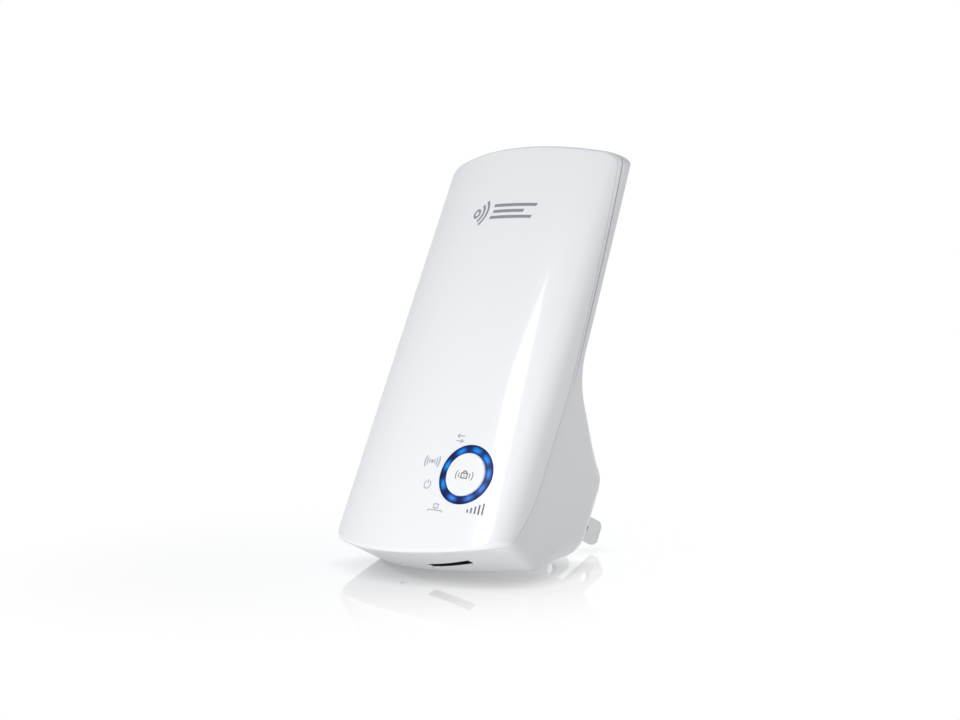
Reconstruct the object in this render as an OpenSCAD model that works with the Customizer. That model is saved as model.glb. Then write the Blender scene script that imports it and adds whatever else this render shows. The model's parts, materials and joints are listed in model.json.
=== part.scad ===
// Plug-in wireless range extender.
// Origin: middle of the rear face between the two plug blades. +Z up, +Y towards the wall outlet.

/* [Housing] */
// Width of the front cover
body_w = 65.8; // [65.2:0.1:66.4]
// Height of the front cover at its middle
body_h = 110; // [109:0.5:112]
// Depth from the front of the bulge to the rear face
body_d = 41; // [40.5:0.1:41.5]
// Height of the plug blades above the lowest point
plug_z = 26.4; // [26:0.1:27]
// Wall thickness of the cover and the housing
wall = 2; // [1.8:0.1:2.1]
// Radius of the cover's bulge across its width
bulge_r = 79.6; // [78:0.1:82]
// Gap between cover and housing along the seam
seam_gap = 0.35; // [0.3:0.05:0.45]

/* [Button and lights] */
// Sideways position of the light ring
ring_x = 17.2; // [16.8:0.1:17.6]
// Height of the light ring above the lowest point
ring_z = 21.3; // [21:0.1:21.7]
// Outer radius of the light ring
ring_ro = 7.6; // [7.4:0.1:7.7]
// Inner radius of the light ring
ring_ri = 5.6; // [5.5:0.1:5.7]
// Height of the button above the cover's surface
button_proud = 0.3; // [0.2:0.05:0.4]
// Button travel
button_travel = 0.5; // [0.3:0.05:0.5]

/* [Plug] */
// Length of the blades outside the housing
blade_len = 17.9; // [16:0.1:18.2]
// Blade height
blade_h = 6.35; // [6.2:0.05:6.5]
// Blade thickness
blade_t = 1.5; // [1.4:0.05:1.6]
// Distance between the blade centres
blade_pitch = 12.7; // [12.6:0.1:12.8]

/* [Ethernet socket] */
// Sideways position of the socket
port_x = 12.3; // [12:0.1:12.6]
// Width of the socket's mouth
port_w = 12; // [11.8:0.1:12.2]
// Height of the socket's mouth, front to back
port_d = 8.2; // [8:0.1:8.3]

/* [Hidden] */
$fn = 96;
half_w = body_w / 2;
tiny = 0.05; // air or solder under a part that sits on a board

edge_r = 5.35; // rounded long edges of the cover
nudge = 0.02; // keeps crossing roundings from just touching a flat
corner_bite = 0.15; // the same at the corners of the front view
base_r = 102; // arch of the bottom edge
top_r = 500; // arch of the top edge
base_corner_r = 3;
top_corner_r = 2.5;

// side profile, as y (front to back) and z (up)
back_top_y = 10.6;
back_lean = 0.0827;
sweep_a = 31;
sweep_p = [30, 42.7];
under_a = 28.9;
under_p = [24.3, 6.1];
neck_r = 14;
boot_top_r = 7;
boot_low_r = 9;

// plan of the boot
taper_y = 13;
taper_x = 0.336;
boot_edge_r = 6;

board_y = 6.9;
board_t = 1.2;
board_back = board_y + board_t;
board_w = 49;
board_z0 = 9.5;
board_z1 = 99;
power_y = 23;
power_t = 1.6;
power_back = power_y + power_t;
power_w = 44;
power_z0 = 13.5;
power_z1 = 42;

jack_w = 15.8;
jack_y0 = board_back + 0.15;
jack_d = 10.6;
jack_z0 = 6;
jack_z1 = 21.5;
port_y = 9.3;

screw_y = 4.3; // tip of the board screws
boss_at = [[-17, 55], [17, 55], [-17, 94], [17, 94]];
// four status lights on the left of the ring, then five signal lights
guide_at = concat([for (k = [0:3]) 119 + 45 * k], [for (k = [0:4]) 298 + 35 * k]);
guide_span = 24;
guide_ro = ring_ro - 0.45;
guide_ri = ring_ri + 0.45;
ring_back = board_y - 1.2;

cap_r = ring_ri - 0.08;
stem_y = board_y - 2.55 - button_travel; // free end of the button's stem
switch_w = 4.4;

reset_x = -7;
reset_y = 10.9;
reset_z = 6.2;
reset_hole_r = 0.8;

contact_pitch = 1.27;
pin_pitch = 2.54;
header_x = -12;
header_z = 40;

power_screw_x = 19.5;
power_screw_z = power_z0 + 12;
trafo_x = -12.4;
trafo_z = 18.5;
trafo_w = 10;
trafo_h = 9.8;

carrier_w = 24;
carrier_h = 13;
label_w = 44;
label_h = 30;
label_z = 6;
label_t = 0.15;

function isect(p, u, q, v) =
    let (d = u[0] * v[1] - u[1] * v[0], w = q - p)
    p + u * ((w[0] * v[1] - w[1] * v[0]) / d);
function unit(v) = v / norm(v);
function bulge_y(x, r = bulge_r) = bulge_r - sqrt(r * r - x * x);

module place() translate([0, -body_d, -plug_z]) children();

// extrudes a (y, z) shape along X, centred
module along_x(w) rotate([90, 0, 90]) linear_extrude(w, center = true) children();

// extrudes an (x, z) shape along +Y from y
module along_y(y, d) translate([0, y + d, 0]) rotate([90, 0, 0]) linear_extrude(d) children();

// the sliver between a corner p and a radius r tangent to both of its sides
module corner(p, u, v, r) {
    phi = acos(u * v);
    tl = r / tan(phi / 2);
    difference() {
        polygon([p - (u + v) * 0.5, p + u * tl, p + v * tl]);
        translate(p + unit(u + v) * r / sin(phi / 2)) circle(r);
    }
}

// side profile of the whole body, inset by t; it runs below the base, which the front view cuts
module side_shape(t) {
    up = unit([-back_lean, 1]);
    sw = [cos(sweep_a), -sin(sweep_a)];
    un = [-cos(under_a), -sin(under_a)];
    pb = [back_top_y, body_h] + [-up[1], up[0]] * t;
    ps = sweep_p + [-sin(sweep_a), -cos(sweep_a)] * t;
    pu = under_p + [-sin(under_a), cos(under_a)] * t;
    neck = isect(pb, up, ps, sw);
    top = isect(ps, sw, [body_d - t, 0], [0, 1]);
    low = isect(pu, un, [body_d - t, 0], [0, 1]);
    under = isect(pu, un, [0, -3], [1, 0]);
    difference() {
        union() {
            polygon([[-5, -3], [-5, body_h + 5], pb + up * 5, neck, top, low, under]);
            corner(neck, up, sw, neck_r + t);
        }
        corner(top, -sw, [0, -1], boot_top_r - t);
        corner(low, [0, 1], un, boot_low_r - t);
    }
}

// plan of the whole body, inset by t: bulged front with rounded long edges, then the tapered boot;
// it runs past the rear face, which the side profile cuts
module plan_shape(t) {
    sn = (half_w - edge_r) / (bulge_r - edge_r);
    xi = (bulge_r - t) * sn;
    xc = half_w - edge_r;
    yc = bulge_r - (bulge_r - edge_r) * sqrt(1 - sn * sn);
    tp = unit([-taper_x, 1]);
    p0 = [half_w, taper_y] + [-tp[1], tp[0]] * t;
    bend = isect(p0, tp, [half_w - t, 0], [0, 1]);
    rear = isect(p0, tp, [0, body_d - t], [1, 0]);
    past = isect(p0, tp, [0, body_d + 3], [1, 0]);
    rc = rear + unit(-tp + [-1, 0]) * (boot_edge_r - t) / sin(acos(tp[0]) / 2) + [0, nudge];
    intersection() {
        translate([0, bulge_r]) circle(bulge_r - t, $fn = 720);
        translate([-xi, -1]) square([2 * xi, yc + 1]);
    }
    for (s = [1, -1]) translate([s * xc, yc]) circle(edge_r - t);
    difference() {
        polygon([[half_w - t, yc], bend, past, [-past[0], past[1]], [-bend[0], bend[1]], [t - half_w, yc]]);
        for (s = [1, -1]) scale([s, 1]) {
            difference() {
                polygon([rc, rc + [tp[1], -tp[0]] * 12, [rc[0] + 14, body_d + 9], [rc[0], body_d + 9]]);
                translate(rc) circle(boot_edge_r - t);
            }
        }
    }
}

// front view outline, as x and z, inset by t; it runs past both sides, which the plan cuts
module front_shape(t) {
    br = base_corner_r - t;
    bc = half_w - t - br + corner_bite;
    bz = base_r - sqrt(pow(base_r - t - br, 2) - bc * bc);
    tr = max(top_corner_r - t, 0.4);
    tc = half_w - t - tr + corner_bite * min(1, tr);
    tz = body_h - top_r + sqrt(pow(top_r - t - tr, 2) - tc * tc);
    difference() {
        intersection() {
            translate([-half_w - 3, -1]) square([body_w + 6, body_h + 2]);
            translate([0, base_r]) circle(base_r - t, $fn = 360);
            translate([0, body_h - top_r]) circle(top_r - t, $fn = 720);
        }
        for (s = [1, -1]) scale([s, 1]) {
            difference() {
                polygon([[bc, bz], [bc + 9, bz], [bc + 9, -4], [bc, bz] + unit([bc, bz - base_r]) * 9]);
                translate([bc, bz]) circle(br);
            }
            difference() {
                polygon([[tc, tz], [tc, tz] + unit([tc, tz + top_r - body_h]) * 9, [tc + 9, tz + 9], [tc + 9, tz]]);
                translate([tc, tz]) circle(tr);
            }
        }
    }
}

// the outside of the closed housing, inset by t
module body_solid(t) intersection() {
    translate([0, 0, -2]) linear_extrude(body_h + 4) plan_shape(t);
    along_x(body_w + 4) side_shape(t);
    along_y(-3, body_d + 7) front_shape(t);
}

// the same without its back and underside, inset by t
module ring_solid(t) intersection() {
    translate([0, 0, -2]) linear_extrude(body_h + 4) plan_shape(t);
    along_y(-3, body_d + 7) front_shape(t);
}

// what lies behind the back's outside, where the lip stops
module lip_end() along_x(body_w + 4) difference() {
    translate([0, -5]) square([body_d + 5, body_h + 10]);
    side_shape(wall - 0.5);
}

// the bulged front alone, inset by t, deep enough for the light ring
module bulge_block(t) translate([0, bulge_r, -1]) cylinder(r = bulge_r - t, h = body_h + 2, $fn = 720);

// everything in front of the seam, moved back by d
module seam_front(d) {
    top_p = [6.6, 112];
    bend_p = [12.6, 48];
    arc_c = [12.7 - 43, 24];
    along_x(body_w + 4) translate([d, 0])
        polygon(concat(
            [[-12, 112], top_p, bend_p],
            [for (i = [0:12]) arc_c + 43 * [cos(-i * 2.05), sin(-i * 2.05)]],
            [[-1.2, -1.2], [-12, -1.2]]));
}

// rods and boxes given by a corner or an end
module rod_y(x, z, y, d, r) translate([x, y, z]) rotate([-90, 0, 0]) cylinder(r = r, h = d);
module rod_x(x, y, z, d, r) translate([x, y, z]) rotate([0, 90, 0]) cylinder(r = r, h = d);
module rod_z(x, y, z, d, r) translate([x, y, z]) cylinder(r = r, h = d);
module box(x0, x1, y0, y1, z0, z1) translate([x0, y0, z0]) cube([x1 - x0, y1 - y0, z1 - z0]);

module wedge(a, span, r) polygon([[0, 0], for (k = [-2:2]) r * [cos(a + k * span / 4), sin(a + k * span / 4)]]);

module front_cover() color("white") place() {
    difference() {
        intersection() {
            body_solid(0);
            seam_front(0);
        }
        body_solid(wall);
        rod_y(ring_x, ring_z, -2, 20, ring_ro + 0.05);
    }
    // bosses for the main board
    for (p = boss_at) difference() {
        rod_y(p[0], p[1], bulge_y(p[0], bulge_r - wall) - 0.6, board_y - tiny - bulge_y(p[0], bulge_r - wall) + 0.6, 2.4);
        rod_y(p[0], p[1], screw_y - 0.3, 9, 0.85);
    }
    // collar that guides the light ring
    difference() {
        intersection() {
            body_solid(wall - 0.5);
            rod_y(ring_x, ring_z, 0, board_y - 0.4, ring_ro + 0.95);
            seam_front(-2);
        }
        rod_y(ring_x, ring_z, -1, 20, ring_ro + 0.05);
    }
}

module rear_housing() color("white") place() {
    difference() {
        body_solid(0);
        seam_front(seam_gap);
        body_solid(wall);
        // shadow line just behind the seam
        difference() {
            seam_front(seam_gap + 1.1);
            seam_front(seam_gap + 0.75);
            body_solid(0.5);
        }
        // mouth of the Ethernet socket
        box(port_x - port_w / 2 - 1.3, port_x + port_w / 2 + 1.3, port_y - 0.4, port_y + port_d + 0.4, -2, jack_z0 - 0.1);
        // reset pinhole
        rod_z(reset_x, reset_y, -2, 7, reset_hole_r);
        // seat of the plug carrier
        box(-carrier_w / 2 - tiny, carrier_w / 2 + tiny, body_d - wall - 1, body_d + 1, plug_z - carrier_h / 2 - tiny, plug_z + carrier_h / 2 + tiny);
        // label recess
        on_back() translate([-label_w / 2 - 0.1, -0.2, label_z - 0.1]) cube([label_w + 0.2, 1, label_h + 0.2]);
    }
    // lip inside the cover, which shuts the seam
    difference() {
        union() {
            difference() {
                intersection() {
                    ring_solid(wall - 0.3);
                    seam_front(seam_gap + 1.2);
                }
                seam_front(seam_gap + 0.1);
            }
            difference() {
                intersection() {
                    ring_solid(wall + 0.1);
                    seam_front(seam_gap + 0.7);
                }
                seam_front(-1.2);
            }
        }
        ring_solid(wall + 0.8);
        lip_end();
    }
    // ledges that carry the power board
    for (s = [1, -1]) difference() {
        intersection() {
            body_solid(wall - 0.5);
            box(s * power_screw_x - 2.5, s * power_screw_x + 2.5, power_back + tiny, body_d, power_screw_z - 2, power_screw_z + 2);
        }
        rod_y(s * power_screw_x, power_screw_z, power_back - 1, 7, 0.85);
    }
}

// places children on the sloped back: z runs up the slope from the neck, y is out of the surface
module on_back() translate([0, back_top_y + (body_h - 62) * back_lean, 62]) rotate([atan(back_lean), 0, 0]) children();

module light_ring() color([0.06, 0.08, 0.3]) place() difference() {
    intersection() {
        bulge_block(0);
        rod_y(ring_x, ring_z, 0, ring_back, ring_ro);
    }
    rod_y(ring_x, ring_z, -1, 20, ring_ri);
    along_y(-1, 20) translate([ring_x, ring_z]) for (a = guide_at)
        intersection() {
            difference() { circle(guide_ro); circle(guide_ri); }
            wedge(a, guide_span, 12);
        }
}

module light_guides() color([0.2, 0.5, 1]) place() intersection() {
    bulge_block(0.03);
    along_y(0, ring_back) translate([ring_x, ring_z]) for (a = guide_at)
        intersection() {
            difference() { circle(guide_ro - 0.02); circle(guide_ri + 0.02); }
            wedge(a, guide_span - 0.4, 12);
        }
}

module status_leds() color([0.9, 0.95, 1]) place() for (a = guide_at)
    translate([ring_x, 0, ring_z]) rotate([0, -a, 0])
        box(6, 7.2, board_y - tiny - 0.65, board_y - tiny, -0.5, 0.5);

module wps_button() color("white") place() {
    difference() {
        intersection() {
            translate([0, bulge_r, 0]) cylinder(r = bulge_r + button_proud, h = body_h, $fn = 720);
            rod_y(ring_x, ring_z, -1, stem_y + 1, cap_r);
        }
        rod_y(ring_x, ring_z, 3.2, 9, cap_r - 1);
    }
    rod_y(ring_x, ring_z, 3, stem_y - 3, 1.6);
}

module button_switch() color([0.75, 0.76, 0.78]) place() difference() {
    box(ring_x - switch_w / 2, ring_x + switch_w / 2, board_y - 1.7, board_y - tiny, ring_z - switch_w / 2, ring_z + switch_w / 2);
    rod_y(ring_x, ring_z, board_y - 2, 1.6, 1.06);
}
module button_plunger() color("black") place() rod_y(ring_x, ring_z, stem_y + tiny, 1.8, 1);

module main_board() color([0.05, 0.35, 0.2]) place() difference() {
    translate([-board_w / 2, board_y, board_z0]) cube([board_w, board_t, board_z1 - board_z0]);
    for (p = boss_at) rod_y(p[0], p[1], board_y - 1, 4, 1.1);
    for (k = [-1.5:1.5]) rod_y(header_x + k * pin_pitch, header_z, board_y - 1, 4, 0.45);
    for (k = [-3.5:3.5], s = [0, 1]) rod_y(port_x + k * contact_pitch, jack_z1 - 3 + s * 1.6, board_y - 1, 4, 0.35);
    box(port_x - 10, port_x + 10, board_y - 1, board_back + 1, board_z0 - 1, board_z0 + 0.5);
}
module board_screws() color([0.7, 0.7, 0.72]) place() for (p = boss_at) {
    rod_y(p[0], p[1], screw_y, board_back + 0.1 - screw_y, 0.8);
    difference() {
        rod_y(p[0], p[1], board_back + tiny, 1.1, 1.8);
        translate([p[0] - 1.2, board_back + 0.75, p[1] - 0.2]) cube([2.4, 1, 0.4]);
        translate([p[0] - 0.2, board_back + 0.75, p[1] - 1.2]) cube([0.4, 1, 2.4]);
    }
}

// a part that lies on the back of the main board
module on_board(x, z, w, h, t) translate([x - w / 2, board_back + tiny, z - h / 2]) cube([w, t, h]);

module processor() color([0.1, 0.1, 0.11]) place() on_board(0, 70, 13, 13, 0.9);
module memory_chip() color([0.1, 0.1, 0.11]) place() on_board(0, 52, 11, 8, 1);
module flash_chip() color([0.1, 0.1, 0.11]) place() on_board(-17, 72, 5.2, 5.2, 1.2);
module crystal() color([0.8, 0.8, 0.82]) place() on_board(-12.5, 62, 3.2, 5, 1);
module shield_can() color([0.8, 0.8, 0.82]) place() difference() {
    on_board(0, 70, 20, 17, 2);
    translate([-9.8, board_back, 61.7]) cube([19.6, 1.85, 16.6]);
    for (i = [-3:3], k = [-2:2]) rod_y(i * 2.6, 70 + k * 2.8, board_back + 1, 3, 0.5);
}
module antenna(s) color([0.8, 0.7, 0.35]) place() {
    box(s * 18 - 5.5, s * 18 + 5.5, board_back + 0.75, board_back + 1.05, 84, 87.5);
    for (k = [-1, 1]) box(s * 18 + k * 3 - 0.6, s * 18 + k * 3 + 0.6, board_back + tiny, board_back + 0.9, 84, 84.3);
}
module left_antenna() antenna(-1);
module right_antenna() antenna(1);

module ethernet_jack() color([0.12, 0.12, 0.13]) place() difference() {
    box(port_x - jack_w / 2, port_x + jack_w / 2, jack_y0, jack_y0 + jack_d, jack_z0, jack_z1);
    box(port_x - port_w / 2, port_x + port_w / 2, port_y, port_y + port_d, jack_z0 - 1, jack_z1 - 2);
    // latch slot
    box(port_x - 3, port_x + 3, port_y + port_d - 1, port_y + port_d + 0.7, jack_z0 - 1, jack_z0 + 6);
    // comb for the contacts
    for (k = [-3.5:3.5]) box(port_x + k * contact_pitch - 0.25, port_x + k * contact_pitch + 0.25, port_y - 0.6, port_y + 0.1, jack_z0 + 3, jack_z1 - 1.2);
}
module jack_contacts() color([0.85, 0.7, 0.3]) place() for (k = [-3.5:3.5]) {
    box(port_x + k * contact_pitch - 0.2, port_x + k * contact_pitch + 0.2, port_y - 0.5, port_y + 0.1, jack_z0 + 3.2, jack_z1 - 1.4);
}
module lan_transformer() color([0.1, 0.1, 0.11]) place() on_board(13, 32, 12.7, 9, 3.6);

module reset_switch() color([0.75, 0.76, 0.78]) place() difference() {
    box(reset_x - 3, reset_x + 3, board_back + tiny, board_back + 4.4, reset_z + 2, reset_z + 6);
    rod_z(reset_x, reset_y, reset_z + 1, 3.2, 0.81);
}
module reset_plunger() color("black") place() rod_z(reset_x, reset_y, reset_z - 0.4, 3.8, 0.75);

module header_block() color([0.12, 0.12, 0.13]) place() difference() {
    box(header_x - 5.2, header_x + 5.2, board_back + tiny, board_back + 2.5, header_z - 1.27, header_z + 1.27);
    for (k = [-1.5:1.5]) rod_y(header_x + k * pin_pitch, header_z, board_back - 1, 5, 0.36);
}
module header_pins() color([0.85, 0.7, 0.3]) place() for (k = [-1.5:1.5])
    rod_y(header_x + k * pin_pitch, header_z, board_y - 0.6, power_back + 0.8 - board_y + 0.6, 0.32);

module power_board() color([0.55, 0.45, 0.2]) place() difference() {
    translate([-power_w / 2, power_y, power_z0]) cube([power_w, power_t, power_z1 - power_z0]);
    for (k = [-1.5:1.5]) rod_y(header_x + k * pin_pitch, header_z, power_y - 1, 4, 0.4);
    for (s = [1, -1]) box(s * blade_pitch / 2 - 0.9, s * blade_pitch / 2 + 0.9, power_y - 1, power_back + 1, plug_z - 2.1, plug_z + 2.1);
    for (s = [1, -1]) rod_y(s * power_screw_x, power_screw_z, power_y - 1, 4, 1.1);
}
module power_screws() color([0.7, 0.7, 0.72]) place() for (s = [1, -1]) {
    rod_y(s * power_screw_x, power_screw_z, power_y - 0.1, 6, 0.8);
    difference() {
        rod_y(s * power_screw_x, power_screw_z, power_y - tiny - 1.1, 1.1, 1.8);
        box(s * power_screw_x - 1.2, s * power_screw_x + 1.2, power_y - 2, power_y - 0.8, power_screw_z - 0.2, power_screw_z + 0.2);
        box(s * power_screw_x - 0.2, s * power_screw_x + 0.2, power_y - 2, power_y - 0.8, power_screw_z - 1.2, power_screw_z + 1.2);
    }
}

// parts on the front of the power board, each reaching forward from it
module on_power(x, z, w, h, t) translate([x - w / 2, power_y - tiny - t, z - h / 2]) cube([w, t, h]);

module transformer_core() color([0.2, 0.2, 0.21]) place() difference() {
    on_power(trafo_x, trafo_z, trafo_w, trafo_h, 9.5);
    for (s = [1, -1]) box(trafo_x + s * 2.75 - 0.95, trafo_x + s * 2.75 + 0.95, 0, 40, trafo_z - 3.5, trafo_z + 3.5);
}
module transformer_winding() color([0.85, 0.75, 0.2]) place()
    for (s = [1, -1]) box(trafo_x + s * 2.75 - 0.85, trafo_x + s * 2.75 + 0.85, power_y - 10.5, power_y - tiny, trafo_z - 3.4, trafo_z + 3.4);

// capacitor can standing on the power board, with its vent cross
module can(x, z, r, h) difference() {
    rod_y(x, z, power_y - tiny - h, h, r);
    for (a = [0, 90]) translate([x, power_y - tiny - h, z]) rotate([0, a, 0]) translate([-r * 0.6, -0.1, -0.12]) cube([r * 1.2, 0.3, 0.24]);
}
module input_capacitor() color([0.12, 0.14, 0.2]) place() can(2.3, 37.6, 4, 11.5);
module output_capacitor() color([0.12, 0.14, 0.2]) place() can(13, 39, 2.6, 9);
module bridge_rectifier() color([0.1, 0.1, 0.11]) place() translate([-2.5, power_back + tiny, 34]) cube([5, 2.4, 6]);
module fuse() color([0.6, 0.15, 0.1]) place() rod_x(8.5, power_back + 2.2, 37, 8, 1.6);
module choke() color([0.15, 0.15, 0.16]) place() rod_x(-18, power_back + 2.6, 36.5, 9, 2.3);
module safety_capacitor() color([0.15, 0.35, 0.7]) place() rod_y(13.5, 18.5, power_back + tiny, 3.2, 3.4);
module optocoupler() color([0.92, 0.92, 0.9]) place() translate([-17, power_back + tiny, 15.5]) cube([6.5, 3.4, 4.6]);
module power_chip() color([0.1, 0.1, 0.11]) place() translate([-3.5, power_back + tiny, 15]) cube([9, 3.2, 6]);

module plug_carrier() color([0.95, 0.95, 0.94]) place() {
    difference() {
        union() {
            box(-carrier_w / 2, carrier_w / 2, body_d - wall, body_d, plug_z - carrier_h / 2, plug_z + carrier_h / 2);
            box(-carrier_w / 2 + 1, carrier_w / 2 - 1, body_d - wall - 5, body_d - wall + 1, plug_z - carrier_h / 2 + 1, plug_z + carrier_h / 2 - 1);
        }
        for (s = [1, -1]) box(s * blade_pitch / 2 - blade_t / 2, s * blade_pitch / 2 + blade_t / 2, body_d - 10, body_d + 1, plug_z - blade_h / 2, plug_z + blade_h / 2);
    }
}

// flat blade with chamfered tip, round hole and a narrow tail to the power board
module blade(s) color([0.85, 0.8, 0.6]) place() difference() {
    translate([s * blade_pitch / 2, 0, 0]) along_x(blade_t) polygon([
        [power_y - 0.8, plug_z - 1.8], [31, plug_z - 1.8], [33, plug_z - blade_h / 2],
        [body_d + blade_len - 1, plug_z - blade_h / 2], [body_d + blade_len, plug_z - blade_h / 2 + 1],
        [body_d + blade_len, plug_z + blade_h / 2 - 1], [body_d + blade_len - 1, plug_z + blade_h / 2],
        [33, plug_z + blade_h / 2], [31, plug_z + 1.8], [power_y - 0.8, plug_z + 1.8]]);
    rod_x(s * blade_pitch / 2 - 2, body_d + 11.9, plug_z, 4, 1.6);
}
module left_blade() blade(-1);
module right_blade() blade(1);

module rating_label() color([0.93, 0.93, 0.93]) place() on_back() translate([-label_w / 2, -0.2 + 0.02, label_z]) cube([label_w, label_t, label_h]);

front_cover();
rear_housing();
light_ring();
light_guides();
status_leds();
wps_button();
button_switch();
button_plunger();
main_board();
board_screws();
processor();
memory_chip();
flash_chip();
crystal();
shield_can();
left_antenna();
right_antenna();
ethernet_jack();
jack_contacts();
lan_transformer();
reset_switch();
reset_plunger();
header_block();
header_pins();
power_board();
power_screws();
transformer_core();
transformer_winding();
input_capacitor();
output_capacitor();
bridge_rectifier();
fuse();
choke();
safety_capacitor();
optocoupler();
power_chip();
plug_carrier();
left_blade();
right_blade();
rating_label();
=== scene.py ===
"""Looks of a plug-in wireless range extender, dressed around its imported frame."""

import json
import logging
import math
from collections.abc import Callable
from dataclasses import dataclass, field
from enum import Enum

import bmesh
import bpy
import numpy as np
from mathutils import Matrix, Vector


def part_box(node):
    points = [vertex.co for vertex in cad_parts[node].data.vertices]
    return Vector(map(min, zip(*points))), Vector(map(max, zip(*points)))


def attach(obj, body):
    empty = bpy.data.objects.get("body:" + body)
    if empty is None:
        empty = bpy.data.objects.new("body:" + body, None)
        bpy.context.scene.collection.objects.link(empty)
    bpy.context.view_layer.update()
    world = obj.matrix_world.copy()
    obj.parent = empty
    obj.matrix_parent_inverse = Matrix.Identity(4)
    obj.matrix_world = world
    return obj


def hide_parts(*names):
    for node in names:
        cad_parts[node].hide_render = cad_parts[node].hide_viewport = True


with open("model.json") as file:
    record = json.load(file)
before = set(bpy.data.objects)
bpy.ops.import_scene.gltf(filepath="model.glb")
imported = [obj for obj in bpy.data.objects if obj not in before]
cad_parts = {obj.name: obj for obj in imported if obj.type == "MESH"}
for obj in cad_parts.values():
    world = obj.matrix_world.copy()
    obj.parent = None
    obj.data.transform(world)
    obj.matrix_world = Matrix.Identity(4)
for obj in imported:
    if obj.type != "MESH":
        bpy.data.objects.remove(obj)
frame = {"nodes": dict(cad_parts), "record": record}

log = logging.getLogger("range_extender")

MM = 0.001
PIN_SIDES = 24
HALVINGS = 38
OUTLINE_HALVINGS = 40
RING_LAMPS = ((119.0, 45.0, 4), (298.0, 35.0, 5))
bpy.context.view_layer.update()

Array = np.ndarray
Colour = tuple[float, float, float]
Sockets = dict[str, bpy.types.NodeSocket]


# ---------------------------------------------------------------- shape helpers

def ramp(value: Array, low: float, high: float) -> Array:
    """Rises from 0 at low to 1 at high along 3t^2 - 2t^3.

    Args:
        value: Where to read the ramp.
        low: Value at which the ramp leaves 0.
        high: Value at which the ramp reaches 1.

    Returns:
        The ramp's height at each value.
    """
    t = np.clip((value - low) / (high - low), 0.0, 1.0)
    return t * t * (3.0 - 2.0 * t)


def crossed(first: Array, second: Array, radius: Array | float, cosine: Array | float) -> Array:
    """Distance field of the space inside two fields at once, with a round edge between them.

    With u and v the depths measured from the edge's centre line, a point in the wedge
    between both normals is at sqrt((u^2 + v^2 - 2uv cos) / sin^2) - r, and any other
    point is at the larger of its two distances.

    Args:
        first: Signed distance to the first surface.
        second: Signed distance to the second surface.
        radius: Radius of the edge.
        cosine: Cosine of the angle between the two outward normals.

    Returns:
        The signed distance to the rounded shape.
    """
    cosine = np.clip(cosine, -0.97, 0.97)
    u = first + radius
    v = second + radius
    sine2 = 1.0 - cosine * cosine
    edge = np.sqrt(np.maximum(u * u + v * v - 2.0 * u * v * cosine, 0.0) / sine2) - radius
    return np.where((u > v * cosine) & (v > u * cosine), edge, np.maximum(first, second))


def slope(shape: Callable[[Array, Array], Array], u: Array, v: Array) -> tuple[Array, Array]:
    """Central differences of a two-dimensional field.

    Args:
        shape: The field.
        u: First coordinate.
        v: Second coordinate.

    Returns:
        The two parts of the field's gradient.
    """
    h = 0.02
    return (
        (shape(u + h, v) - shape(u - h, v)) / (2 * h),
        (shape(u, v + h) - shape(u, v - h)) / (2 * h),
    )


def new_mesh(name: str, points: Array, faces: Array | list) -> bpy.types.Object:
    """Makes a linked object from points in metres.

    Args:
        name: Name of the object and of its mesh.
        points: Points, one row each.
        faces: Corner numbers, one row for each face.

    Returns:
        The new object, at the origin.
    """
    mesh = bpy.data.meshes.new(name)
    mesh.from_pydata(points.tolist(), [], [list(map(int, f)) for f in faces])
    mesh.validate()
    mesh.update()
    piece = bpy.data.objects.new(name, mesh)
    bpy.context.scene.collection.objects.link(piece)
    return piece


def grid_faces(rows: int, cols: int, wrap_rows: bool, wrap_cols: bool) -> Array:
    """Quads of a grid whose point number is row * cols + column.

    Args:
        rows: Number of rows.
        cols: Number of columns.
        wrap_rows: Whether the last row joins the first.
        wrap_cols: Whether the last column joins the first.

    Returns:
        Corner numbers, four for each quad.
    """
    r = np.arange(rows if wrap_rows else rows - 1)
    c = np.arange(cols if wrap_cols else cols - 1)
    r, c = (a.ravel() for a in np.meshgrid(r, c, indexing="ij"))
    r2 = (r + 1) % rows
    c2 = (c + 1) % cols
    return np.stack([r * cols + c, r * cols + c2, r2 * cols + c2, r2 * cols + c], axis=1)


def volume(points: Array, faces: Array) -> float:
    """Signed volume of a closed set of quads: the sum of a . (b x c) / 6 over its triangles."""
    a, b, c, d = (points[faces[:, k]] for k in range(4))
    return float((a * (np.cross(b, c) + np.cross(c, d))).sum() / 6)


def face_outward(piece: bpy.types.Object) -> None:
    """Turns every face of a closed piece outward.

    Args:
        piece: The piece.
    """
    work = bmesh.new()
    work.from_mesh(piece.data)
    bmesh.ops.recalc_face_normals(work, faces=work.faces)
    work.to_mesh(piece.data)
    work.free()


def soften(piece: bpy.types.Object, degrees: float) -> None:
    """Shades a piece smooth, and keeps edges sharper than an angle sharp.

    Args:
        piece: The piece.
        degrees: Angle from which an edge stays sharp.
    """
    piece.data.shade_smooth()
    piece.data.set_sharp_from_angle(angle=math.radians(degrees))


# ---------------------------------------------------------------- the body's form

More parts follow.
